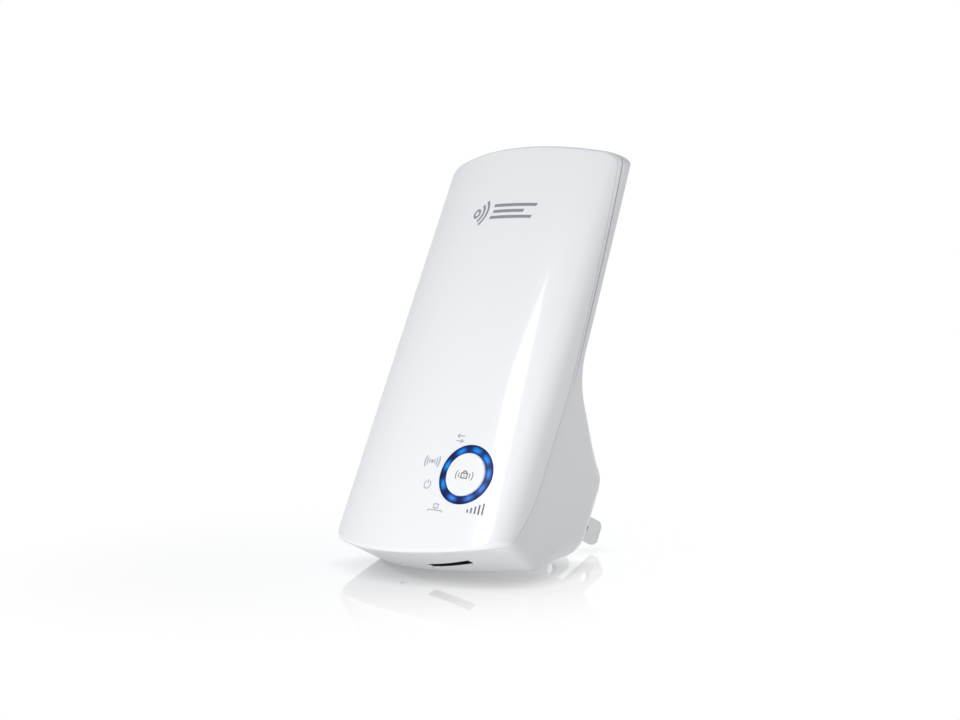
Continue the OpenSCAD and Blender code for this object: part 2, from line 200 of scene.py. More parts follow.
@dataclass
class BodyForm:
    """Closed outside of the body: plan, side profile and front outline, crossed with round edges.

    Sizes are in millimetres, in a frame whose y starts at the front and whose z starts
    at the lowest point. The field is negative inside.
    """

    width: float
    height: float
    depth: float
    bulge_radius: float = 79.6
    long_edge: float = 5.35
    base_radius: float = 102.0
    top_radius: float = 500.0
    back_top: float = 10.6
    back_lean: float = 0.0827
    sweep_angle: float = 31.0
    sweep_point: tuple[float, float] = (30.0, 42.7)
    under_angle: float = 28.9
    under_point: tuple[float, float] = (24.3, 6.1)
    neck_radius: float = 14.0
    boot_top_radius: float = 7.0
    boot_low_radius: float = 9.0
    taper_start: float = 13.0
    taper: float = 0.336
    taper_edge: float = 18.0
    end_edge: float = 1.5
    front_edge: float = 1.0
    back_edge: float = 1.5
    corner_edge: float = 2.9
    boot_edge: float = 6.0
    seam_knee: tuple[float, float] = (12.6, 48.0)
    seam_lean: float = 0.09375
    seam_belly: tuple[float, float] = (12.7, 24.0)
    seam_bow: float = 0.1
    seam_radius: float = 43.0
    seam_front: tuple[float, float] = (8.8, 6.1)
    seam_start: float = 1.2

    def bulge(self, x: Array, lift: float = 0.0) -> Array:
        """Depth of the bulged front at x: R - sqrt((R + lift)^2 - x^2)."""
        return self.bulge_radius - np.sqrt((self.bulge_radius + lift) ** 2 - x * x)

    def plan(self, x: Array, y: Array) -> Array:
        """Distance to the plan: a large circle in front, flat sides, then sides that taper.

        Args:
            x: Sideways coordinate.
            y: Depth.

        Returns:
            The signed distance.
        """
        half = self.width / 2
        x = np.abs(x)
        reach = np.hypot(x, y - self.bulge_radius)
        front = np.where(y < self.bulge_radius, reach - self.bulge_radius, -self.bulge_radius)
        side = x - half
        n = math.hypot(1.0, self.taper)
        tapered = (x - half + (y - self.taper_start) * self.taper) / n
        sides = crossed(side, tapered, self.taper_edge, 1.0 / n)
        return crossed(front, sides, self.long_edge, x / np.maximum(reach, 1.0))

    def side(self, y: Array, z: Array) -> Array:
        """Distance to the side profile: leaning back, swept neck, rear face and sloped underside.

        Args:
            y: Depth.
            z: Height.

        Returns:
            The signed distance.
        """
        n = math.hypot(1.0, self.back_lean)
        back = (y - self.back_top + (z - self.height) * self.back_lean) / n
        a = math.radians(self.sweep_angle)
        sweep = (y - self.sweep_point[0]) * math.sin(a) + (z - self.sweep_point[1]) * math.cos(a)
        cos_neck = (math.sin(a) + self.back_lean * math.cos(a)) / n
        rear = y - self.depth
        boot = crossed(sweep, rear, self.boot_top_radius, math.sin(a))
        slim_or_boot = -crossed(-back, -boot, self.neck_radius, cos_neck)
        b = math.radians(self.under_angle)
        under = (y - self.under_point[0]) * math.sin(b) - (z - self.under_point[1]) * math.cos(b)
        return crossed(slim_or_boot, under, self.boot_low_radius, math.sin(b))

    def front(self, x: Array, z: Array) -> Array:
        """Distance to the two arches that end the body below and above.

        Args:
            x: Sideways coordinate.
            z: Height.

        Returns:
            The signed distance.
        """
        low = np.hypot(x, z - self.base_radius) - self.base_radius
        high = np.hypot(x, z - self.height + self.top_radius) - self.top_radius
        return np.where(z < self.height / 2, low, high)

    def field(self, p: Array) -> Array:
        """Distance field of the whole body.

        Args:
            p: Points, with the three coordinates last.

        Returns:
            The signed distance of each point.
        """
        x, y, z = np.moveaxis(p, -1, 0)
        a, b, c = self.plan(x, y), self.side(y, z), self.front(x, z)
        ax, ay = slope(self.plan, x, y)
        by, bz = slope(self.side, y, z)
        cx, cz = slope(self.front, x, z)
        ends = crossed(b, c, self.end_edge, bz * cz)
        to_side = ramp(np.abs(x), 27.5, 32.0)
        end_edge = self.front_edge + (self.corner_edge - self.front_edge) * to_side
        rear_edge = self.back_edge + (self.boot_edge - self.back_edge) * ramp(y, 16.0, 36.0)
        rear = np.clip(0.5 + (b - c) / 2, 0.0, 1.0)
        return crossed(
            a, ends, end_edge + (rear_edge - end_edge) * rear, ax * cx + (ay * by - ax * cx) * rear
        )

    def seam(self, z: Array) -> Array:
        """Depth of the seam at a height: a leaning line, a large arc and the line under the front.

        Args:
            z: Height.

        Returns:
            The seam's depth.
        """
        (knee_y, knee_z), (belly_y, belly_z) = self.seam_knee, self.seam_belly
        (front_y, front_z), start = self.seam_front, self.seam_start
        upper = knee_y - self.seam_lean * (z - knee_z)
        across = np.sqrt(np.maximum(self.seam_radius**2 - (z - belly_z) ** 2, 0.0))
        arc = belly_y - self.seam_radius + across
        arc = np.where(z > belly_z, belly_y - self.seam_bow * (z - belly_z) / belly_z, arc)
        lower = -start + (z + start) * (front_y + start) / (front_z + start)
        return np.where(z > knee_z, upper, np.where(z > front_z, arc, lower))

    def hit(self, path: Callable[[Array], Array], far: float, level: Array | float) -> Array:
        """Finds where each path leaves the level set, by halving the interval HALVINGS times.

        Args:
            path: Gives the points at a distance along every path.
            far: Distance that is outside on every path.
            level: Value of the field to stop at.

        Returns:
            The points found.
        """
        low = np.zeros(path(np.zeros(1)).shape[:-1])
        high = np.full(low.shape, far)
        for _ in range(HALVINGS):
            mid = (low + high) / 2
            inside = self.field(path(mid)) < level
            low = np.where(inside, mid, low)
            high = np.where(inside, high, mid)
        return path(high)

    def outline(self, count: int) -> Array:
        """Outline of the body seen from the front, with its points gathered at the corners.

        A ray turns about the middle and stops where the arches, crossed with the two flat
        sides, end. The points are then spread evenly over length plus turning.

        Args:
            count: Number of points.

        Returns:
            The x and z of each point.
        """
        mid = self.height / 2
        angle = np.linspace(0.0, 2 * math.pi, 6001)
        c, s = np.cos(angle), np.sin(angle)
        low, high = np.zeros_like(angle), np.full_like(angle, 90.0)
        for _ in range(OUTLINE_HALVINGS):
            r = (low + high) / 2
            x, z = r * c, mid + r * s
            cosine = np.abs(x) / np.where(z < mid, self.base_radius, self.top_radius)
            side = np.abs(x) - self.width / 2
            inside = crossed(side, self.front(x, z), self.corner_edge, cosine) < 0
            low, high = np.where(inside, r, low), np.where(inside, high, r)
        loop = np.stack([high * c, mid + high * s], axis=1)
        step = np.diff(loop, axis=0)
        length = np.hypot(step[:, 0], step[:, 1])
        heading = np.unwrap(np.arctan2(step[:, 1], step[:, 0]))
        turn = np.abs(np.diff(heading, append=heading[-1]))
        run = np.concatenate([[0.0], np.cumsum(length + 7.0 * turn)])
        at = np.linspace(0.0, run[-1], count, endpoint=False)
        return np.stack([np.interp(at, run, loop[:, 0]), np.interp(at, run, loop[:, 1])], axis=1)


@dataclass
class Place:
    """Where the form's millimetre frame stands in the row frame."""

    front: float
    base: float

    def metres(self, p: Array) -> Array:
        """Moves points from the form's frame to the row frame, in metres."""
        return (p * MM) + np.array([0.0, self.front, self.base])

    def middle(self, name: str) -> Array:
        """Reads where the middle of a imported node's box is in the front view.

        Args:
            name: Name of the node.

        Returns:
            Its x and z in the form's millimetres.
        """
        low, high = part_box(name)
        return np.array([(low.x + high.x) / 2 / MM, ((low.z + high.z) / 2 - self.base) / MM])


def body_form() -> tuple[BodyForm, Place]:
    """Reads the body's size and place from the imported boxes.

    Returns:
        The form and its place.
    """
    cover_low, cover_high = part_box("front_cover")
    house_low, house_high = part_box("rear_housing")
    form = BodyForm(
        width=(cover_high.x - cover_low.x) / MM,
        height=(max(cover_high.z, house_high.z) - min(cover_low.z, house_low.z)) / MM,
        depth=(house_high.y - cover_low.y) / MM,
    )
    return form, Place(cover_low.y, min(cover_low.z, house_low.z))


# ---------------------------------------------------------------- node groups and finishes

class Tree:
    """A node tree being filled, with short calls for nodes and links."""

    def __init__(self, tree: bpy.types.NodeTree) -> None:
        """Starts from an empty tree."""
        self.tree = tree
        tree.nodes.clear()

    def node(self, kind: str, **values: object) -> bpy.types.Node:
        """Adds a node.

        Args:
            kind: Blender's name for the node.
            values: Properties of the node.

        Returns:
            The node.
        """
        made = self.tree.nodes.new(kind)
        for key, value in values.items():
            setattr(made, key, value)
        return made

    def join(self, source: bpy.types.NodeSocket, target: bpy.types.NodeSocket) -> None:
        """Links one socket to another."""
        self.tree.links.new(source, target)

    def fill(self, socket: bpy.types.NodeSocket, value: object) -> None:
        """Links a socket to an input, or sets its value.

        Args:
            socket: The input.
            value: A socket, a number, a vector or a colour without its alpha.
        """
        if isinstance(value, bpy.types.NodeSocket):
            self.join(value, socket)
        elif socket.type == "RGBA":
            socket.default_value = (*value, 1.0)
        else:
            socket.default_value = value

    def put(self, node: bpy.types.Node, **inputs: object) -> bpy.types.Node:
        """Fills inputs of a node by name, an underscore standing for a space.

        Args:
            node: The node.
            inputs: A socket or a value for each input.

        Returns:
            The node.
        """
        for key, value in inputs.items():
            self.fill(node.inputs[key.replace("_", " ")], value)
        return node

    def math(self, operation: str, *values: object) -> bpy.types.NodeSocket:
        """Adds a Math node whose inputs are sockets or numbers.

        Args:
            operation: The operation.
            values: The inputs, in order.

        Returns:
            The result's socket.
        """
        made = self.node("ShaderNodeMath", operation=operation)
        for socket, value in zip(made.inputs, values):
            self.fill(socket, value)
        return made.outputs[0]

    def bell(self, value: bpy.types.NodeSocket, sharpness: float) -> bpy.types.NodeSocket:
        """Works out exp(-sharpness * value^2)."""
        square = self.math("MULTIPLY", value, value)
        return self.math("EXPONENT", self.math("MULTIPLY", square, -sharpness))

    def mix(self, factor: object, low: object, high: object) -> bpy.types.NodeSocket:
        """Adds a colour mix.

        Args:
            factor: Socket or number.
            low: Socket or colour at factor 0.
            high: Socket or colour at factor 1.

        Returns:
            The colour's socket.
        """
        made = self.node("ShaderNodeMix", data_type="RGBA")
        for k, value in ((0, factor), (6, low), (7, high)):
            self.fill(made.inputs[k], value)
        return made.outputs[2]

    def blend(self, factor: bpy.types.NodeSocket, first: bpy.types.NodeSocket,
              second: bpy.types.NodeSocket) -> bpy.types.NodeSocket:
        """Adds a Mix Shader node.

        Args:
            factor: Share of the second shader.
            first: The first shader.
            second: The second shader.

        Returns:
            The mixed shader's socket.
        """
        made = self.node("ShaderNodeMixShader")
        for socket, source in zip(made.inputs, (factor, first, second)):
            self.join(source, socket)
        return made.outputs[0]

    def relief(self, shader: bpy.types.Node, height: bpy.types.NodeSocket, distance: float,
               strength: float) -> None:
        """Feeds a height through a Bump node into a shader's Normal.

        Args:
            shader: The shader.
            height: Socket of the height.
            distance: Height that 1 stands for, in metres.
            strength: Strength of the bump.
        """
        bump = self.node("ShaderNodeBump")
        self.put(bump, Distance=distance, Strength=strength, Height=height)
        self.join(bump.outputs[0], shader.inputs["Normal"])


def group(name: str, inputs: dict[str, float], outputs: tuple[str, ...]) -> tuple[
        bpy.types.NodeTree, Tree, Sockets, Sockets]:
    """Starts a shader node group with float inputs and outputs beside a Vector input.

    Args:
        name: Name of the group.
        inputs: Names of the inputs, with their usual values.
        outputs: Names of the outputs.

    Returns:
        The group, its tree, its input sockets and its output sockets.
    """
    made = bpy.data.node_groups.new(name, "ShaderNodeTree")
    made.interface.new_socket("Vector", in_out="INPUT", socket_type="NodeSocketVector")
    for key, value in inputs.items():
        socket = made.interface.new_socket(key, in_out="INPUT", socket_type="NodeSocketFloat")
        socket.default_value = value
    for key in outputs:
        made.interface.new_socket(key, in_out="OUTPUT", socket_type="NodeSocketFloat")
    tree = Tree(made)
    start = tree.node("NodeGroupInput")
    end = tree.node("NodeGroupOutput")
    return made, tree, {s.name: s for s in start.outputs}, {s.name: s for s in end.inputs}


def grain_group() -> bpy.types.NodeTree:
    """Fine skin of a moulded, rolled or drawn surface.

    Tone is broad noise plus a little fine noise, and Height is fine noise over long waves.

    Returns:
        The group, with inputs Vector, Scale and Spread, and outputs Tone and Height.
    """
    inputs = {"Scale": 900.0, "Spread": 0.5}
    made, tree, start, end = group("surface_grain", inputs, ("Tone", "Height"))
    fine, broad, wave = (
        tree.put(
            tree.node("ShaderNodeTexNoise"), Vector=start["Vector"],
            Scale=tree.math("MULTIPLY", start["Scale"], factor), Detail=detail,
        ).outputs[0]
        for factor, detail in ((1.0, 3.0), (0.03, 2.0), (0.09, 1.0))
    )
    rest = tree.math("SUBTRACT", 1.0, start["Spread"])
    low = tree.math("MULTIPLY", broad, rest)
    tree.join(tree.math("ADD", low, tree.math("MULTIPLY", fine, start["Spread"])), end["Tone"])
    tree.join(tree.math("ADD", tree.math("MULTIPLY", fine, 0.35), wave), end["Height"])
    return made


def dust_group() -> bpy.types.NodeTree:
    """Faint specks that settle on a surface: cells whose centre is near, thinned by noise.

    Returns:
        The group, with inputs Vector, Scale and Amount, and output Mask.
    """
    made, tree, start, end = group("fine_specks", {"Scale": 700.0, "Amount": 0.1}, ("Mask",))
    cells, patch = (
        tree.put(
            tree.node(kind), Vector=start["Vector"],
            Scale=tree.math("MULTIPLY", start["Scale"], factor),
        )
        for kind, factor in (("ShaderNodeTexVoronoi", 1.0), ("ShaderNodeTexNoise", 0.2))
    )
    near = tree.math("LESS_THAN", cells.outputs["Distance"], start["Amount"])
    some = tree.math("GREATER_THAN", patch.outputs[0], 0.55)
    tree.join(tree.math("MULTIPLY", near, some), end["Mask"])
    return made


def glow_group() -> bpy.types.NodeTree:
    """Light that nine small lamps throw into the ring.

    A point's angle about the ring's axis is measured from the nearest lamp, four lamps
    45 degrees apart on one side and five 35 degrees apart on the other; the light falls
    as a bell over that angle, and as a bell over the distance from the ring's middle
    radius. Side is 0 at the upper left and grows with x - z towards the lower right.

    Returns:
        The group, with inputs Vector (from the ring's centre), Radius and Band, and outputs
        Glow and Side.
    """
    inputs = {"Radius": 0.0064, "Band": 0.00075}
    made, tree, start, end = group("ring_glow", inputs, ("Glow", "Side"))
    axes = tree.put(tree.node("ShaderNodeSeparateXYZ"), Vector=start["Vector"])
    x, z = axes.outputs["X"], axes.outputs["Z"]
    angle = tree.math("MULTIPLY", tree.math("ARCTAN2", z, x), 180.0 / math.pi)
    whole = None
    for first, step, count in RING_LAMPS:
        for k in range(count):
            off = tree.math("SUBTRACT", angle, first + step * k)
            lamp = tree.bell(tree.math("WRAP", off, 180.0, -180.0), 1.0 / 150.0)
            whole = lamp if whole is None else tree.math("ADD", whole, lamp)
    squares = tree.math("ADD", tree.math("MULTIPLY", x, x), tree.math("MULTIPLY", z, z))
    away = tree.math("SUBTRACT", tree.math("SQRT", squares), start["Radius"])
    band = tree.bell(tree.math("DIVIDE", away, start["Band"]), 1.0)
    tree.join(tree.math("MULTIPLY", whole, band), end["Glow"])
    leaning = tree.math("MULTIPLY", tree.math("SUBTRACT", x, z), 70.0)
    tree.join(tree.math("MAXIMUM", leaning, 0.0), end["Side"])
    return made


class Groups:
    """The node groups that several finishes share, each built once."""

    def __init__(self) -> None:
        """Builds every group."""
        self.grain = grain_group()
        self.specks = dust_group()
        self.glow = glow_group()


def start_material(name: str) -> tuple[
        bpy.types.Material, Tree, bpy.types.Node, bpy.types.NodeSocket]:
    """Starts a material with a Principled shader.

    Args:
        name: Name of the material.

    Returns:
        The material, its tree, its shader and its object coordinates.
    """
    made = bpy.data.materials.new(name)
    made.use_nodes = True
    tree = Tree(made.node_tree)
    out = tree.node("ShaderNodeOutputMaterial")
    shader = tree.node("ShaderNodeBsdfPrincipled")
    tree.join(shader.outputs[0], out.inputs["Surface"])
    return made, tree, shader, tree.node("ShaderNodeTexCoord").outputs["Object"]


class Skin(Enum):
    """How a finish's detail lies on the surface."""

    MOULDED = "moulded"
    ROLLED = "rolled"
    BOARD = "board"
    WOUND = "wound"


@dataclass(frozen=True)
class Finish:
    """One finish: its colour, how it shines and how its skin wanders."""

    name: str
    colour: Colour
    roughness: float = 0.4
    metallic: float = 0.0
    coat: float = 0.0
    ior: float = 1.46
    skin: Skin = Skin.MOULDED
    scale: float = 900.0
    spread: float = 0.4
    tone: float = 0.05
    relief: float = 0.00001
    specks: float = 0.0

    def material(self, groups: Groups) -> bpy.types.Material:
        """Builds the material.

        Args:
            groups: The shared node groups.

        Returns:
            The material.
        """
        made, tree, shader, place = start_material(self.name)
        if self.skin is Skin.ROLLED:
            drawn = tree.node("ShaderNodeMapping")
            place = tree.put(drawn, Scale=(1.0, 0.04, 1.0), Vector=place).outputs[0]
        skin = tree.node("ShaderNodeGroup", node_tree=groups.grain)
        tree.put(skin, Vector=place, Scale=self.scale, Spread=self.spread)
        tone, height = skin.outputs["Tone"], skin.outputs["Height"]
        dark = tuple(max(0.0, v * (1.0 - self.tone)) for v in self.colour)
        light = tuple(min(1.0, v * (1.0 + self.tone)) for v in self.colour)
        colour = tree.mix(tone, dark, light)
        if self.skin is Skin.BOARD:
            colour, height = self.tracks(tree, place, colour, height)
        if self.skin is Skin.WOUND:
            rings = tree.node("ShaderNodeTexWave", bands_direction="Z")
            tree.put(rings, Scale=900.0, Vector=place)
            height = tree.math("ADD", height, rings.outputs["Fac"])
        if self.specks > 0.0:
            speck = tree.node("ShaderNodeGroup", node_tree=groups.specks)
            tree.put(speck, Vector=place, Scale=420.0, Amount=0.06)
            shade = tree.math("MULTIPLY", speck.outputs["Mask"], self.specks)
            colour = tree.mix(shade, colour, tuple(v * 0.8 for v in self.colour))
        tree.put(
            shader, Base_Color=colour, Metallic=self.metallic, Coat_Weight=self.coat,
            Coat_Roughness=0.04, IOR=self.ior,
            Roughness=tree.math("MULTIPLY_ADD", tone, 0.06, self.roughness - 0.03),
        )
        tree.relief(shader, height, self.relief, 0.6)
        return made

    def tracks(self, tree: Tree, place: bpy.types.NodeSocket, colour: bpy.types.NodeSocket,
               height: bpy.types.NodeSocket) -> tuple[bpy.types.NodeSocket, bpy.types.NodeSocket]:
        """Copper tracks under the solder resist: thin borders of uneven cells, and round pads.

        Args:
            tree: The material's tree.
            place: Coordinates.
            colour: The resist's colour.
            height: The resist's height.

        Returns:
            The colour and height with tracks.
        """
        cells = tree.node("ShaderNodeTexVoronoi", feature="DISTANCE_TO_EDGE")
        tree.put(cells, Scale=260.0, Randomness=0.35, Vector=place)
        line = tree.math("LESS_THAN", cells.outputs["Distance"], 0.09)
        pads = tree.put(tree.node("ShaderNodeTexVoronoi", feature="F1"), Scale=330.0, Vector=place)
        pad = tree.math("LESS_THAN", pads.outputs["Distance"], 0.16)
        lighter = tuple(min(1.0, v * 1.5 + 0.03) for v in self.colour)
        colour = tree.mix(pad, tree.mix(line, colour, lighter), (0.72, 0.66, 0.42))
        copper = tree.math("MULTIPLY", tree.math("ADD", line, pad), 2.0)
        return colour, tree.math("ADD", height, copper)


@dataclass(frozen=True)
class RingFinish:
    """Blue light ring: deep blue plastic that glows over its lamps."""

    name: str
    deep: Colour
    bright: Colour
    centre: tuple[float, float, float]
    violet: Colour = (0.05, 0.1, 0.42)
    strength: float = 0.85

    def material(self, groups: Groups) -> bpy.types.Material:
        """Builds the material.

        Args:
            groups: The shared node groups.

        Returns:
            The material.
        """
        made, tree, shader, place = start_material(self.name)
        centred = tree.node("ShaderNodeMapping")
        tree.put(centred, Location=tuple(-v for v in self.centre), Vector=place)
        glow = tree.node("ShaderNodeGroup", node_tree=groups.glow)
        tree.put(glow, Vector=centred.outputs[0])
        skin = tree.node("ShaderNodeGroup", node_tree=groups.grain)
        tree.put(skin, Vector=place, Scale=1500.0)
        uneven = tree.math("MULTIPLY_ADD", skin.outputs["Tone"], 0.4, 0.8)
        lit = tree.math("MINIMUM", tree.math("MULTIPLY", glow.outputs["Glow"], uneven), 1.0)
        lamp = tree.mix(glow.outputs["Side"], self.bright, self.violet)
        tree.put(
            shader, Base_Color=tree.mix(lit, self.deep, lamp), Roughness=0.22, IOR=1.42,
            Emission_Color=tree.mix(lit, tuple(v * 0.6 for v in self.deep), lamp),
            Emission_Strength=self.strength, Specular_IOR_Level=0.22,
        )
        tree.relief(shader, skin.outputs["Height"], 0.000004, 1.0)
        return made


METAL = {"metallic": 1.0, "skin": Skin.ROLLED}

FINISHES = (
    Finish("cover_white", (0.845, 0.858, 0.88), roughness=0.24, coat=0.6, tone=0.006,
           relief=0.0000015, scale=700.0, specks=0.05),
    Finish("housing_white", (0.80, 0.812, 0.835), roughness=0.3, coat=0.1, tone=0.008,
           relief=0.000002, specks=0.05),
    Finish("led_white", (0.9, 0.92, 0.95), roughness=0.3),
    Finish("button_white", (0.86, 0.872, 0.89), roughness=0.24, coat=0.25, tone=0.006,
           relief=0.000002),
    Finish("switch_metal", (0.62, 0.63, 0.65), roughness=0.35, **METAL),
    Finish("black_plastic", (0.02, 0.02, 0.022), roughness=0.5, tone=0.3, relief=0.00002),
    Finish("board_green", (0.02, 0.16, 0.07), roughness=0.35, skin=Skin.BOARD, relief=0.00003),
    Finish("steel", (0.6, 0.6, 0.61), roughness=0.32, **METAL),
    Finish("chip_black", (0.018, 0.018, 0.02), roughness=0.55, tone=0.35, scale=2500.0,
           relief=0.00003),
    Finish("shield_metal", (0.68, 0.68, 0.7), roughness=0.3, **METAL),
    Finish("antenna_brass", (0.62, 0.5, 0.24), roughness=0.3, **METAL),
    Finish("jack_black", (0.012, 0.012, 0.013), roughness=0.42, tone=0.3, relief=0.00002),
    Finish("contact_gold", (0.83, 0.62, 0.22), roughness=0.25, **METAL),
    Finish("board_tan", (0.42, 0.3, 0.12), roughness=0.5, skin=Skin.BOARD, relief=0.00003),
    Finish("ferrite", (0.07, 0.07, 0.072), roughness=0.6, tone=0.3, scale=3000.0, relief=0.00004),
    Finish("winding_tape", (0.72, 0.55, 0.06), roughness=0.35, skin=Skin.WOUND, relief=0.00004),
    Finish("capacitor_sleeve", (0.02, 0.03, 0.07), roughness=0.3, tone=0.2),
    Finish("fuse_body", (0.35, 0.04, 0.03), roughness=0.35, tone=0.1),
    Finish("choke_sleeve", (0.03, 0.03, 0.032), roughness=0.4, skin=Skin.WOUND),
    Finish("disc_blue", (0.05, 0.14, 0.42), roughness=0.3, tone=0.1),
    Finish("opto_white", (0.8, 0.8, 0.77), roughness=0.5),
    Finish("carrier_white", (0.80, 0.812, 0.83), roughness=0.42, tone=0.012,
           relief=0.00001, specks=0.05),
    Finish("blade_metal", (0.56, 0.565, 0.58), roughness=0.12, tone=0.04, scale=1600.0,
           relief=0.000004, **METAL),
    Finish("label_film", (0.74, 0.75, 0.77), roughness=0.38, tone=0.02, relief=0.000004),
    Finish("print_ink", (0.36, 0.37, 0.39), roughness=0.45, tone=0.05, scale=2400.0,
           relief=0.000004),
    Finish("dark_ink", (0.13, 0.135, 0.15), roughness=0.45, tone=0.05, scale=2400.0,
           relief=0.000004),
    Finish("mark_ink", (0.3, 0.31, 0.33), roughness=0.3, metallic=0.35, tone=0.05, relief=0.000002),
)


class Wardrobe:
    """Every finish as a material, by name."""

    def __init__(self, ring_centre: tuple[float, float, float]) -> None:
        """Builds the node groups and the materials.

        Args:
            ring_centre: Centre of the light ring.
        """
        groups = Groups()
        self.materials = {finish.name: finish.material(groups) for finish in FINISHES}
        for finish in (
            RingFinish("ring_blue", (0.001, 0.003, 0.045), (0.002, 0.1, 0.42), ring_centre),
            RingFinish("guide_blue", (0.001, 0.004, 0.06), (0.002, 0.17, 0.54), ring_centre),
        ):
            self.materials[finish.name] = finish.material(groups)

    def dress(self, piece: bpy.types.Object, name: str) -> None:
        """Gives a piece one finish.

        Args:
            piece: The piece.
            name: Name of the finish.
        """
        slots = piece.material_slots
        if slots:
            for each in slots:
                each.material = self.materials[name]
        else:
            piece.data.materials.append(self.materials[name])

    def dress_frame(self) -> None:
        """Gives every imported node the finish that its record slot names."""
        for part in frame["record"]["subparts"]:
            self.dress(frame["nodes"][part["node"]], part["material_slot"])
            log.info("%s keeps its packed shape in %s", part["node"], part["material_slot"])


# ---------------------------------------------------------------- shells

@dataclass(frozen=True)
class Inset:
    """How far the housing's rows stand in from its outline, in millimetres.

    The side and top insets place the outline that the back starts from. The turn is how
    far in front of it the side ends and the rear edge begins, with more of it at the boot.
    """

    side: float
    top: float
    turn: float
    boot_turn: float


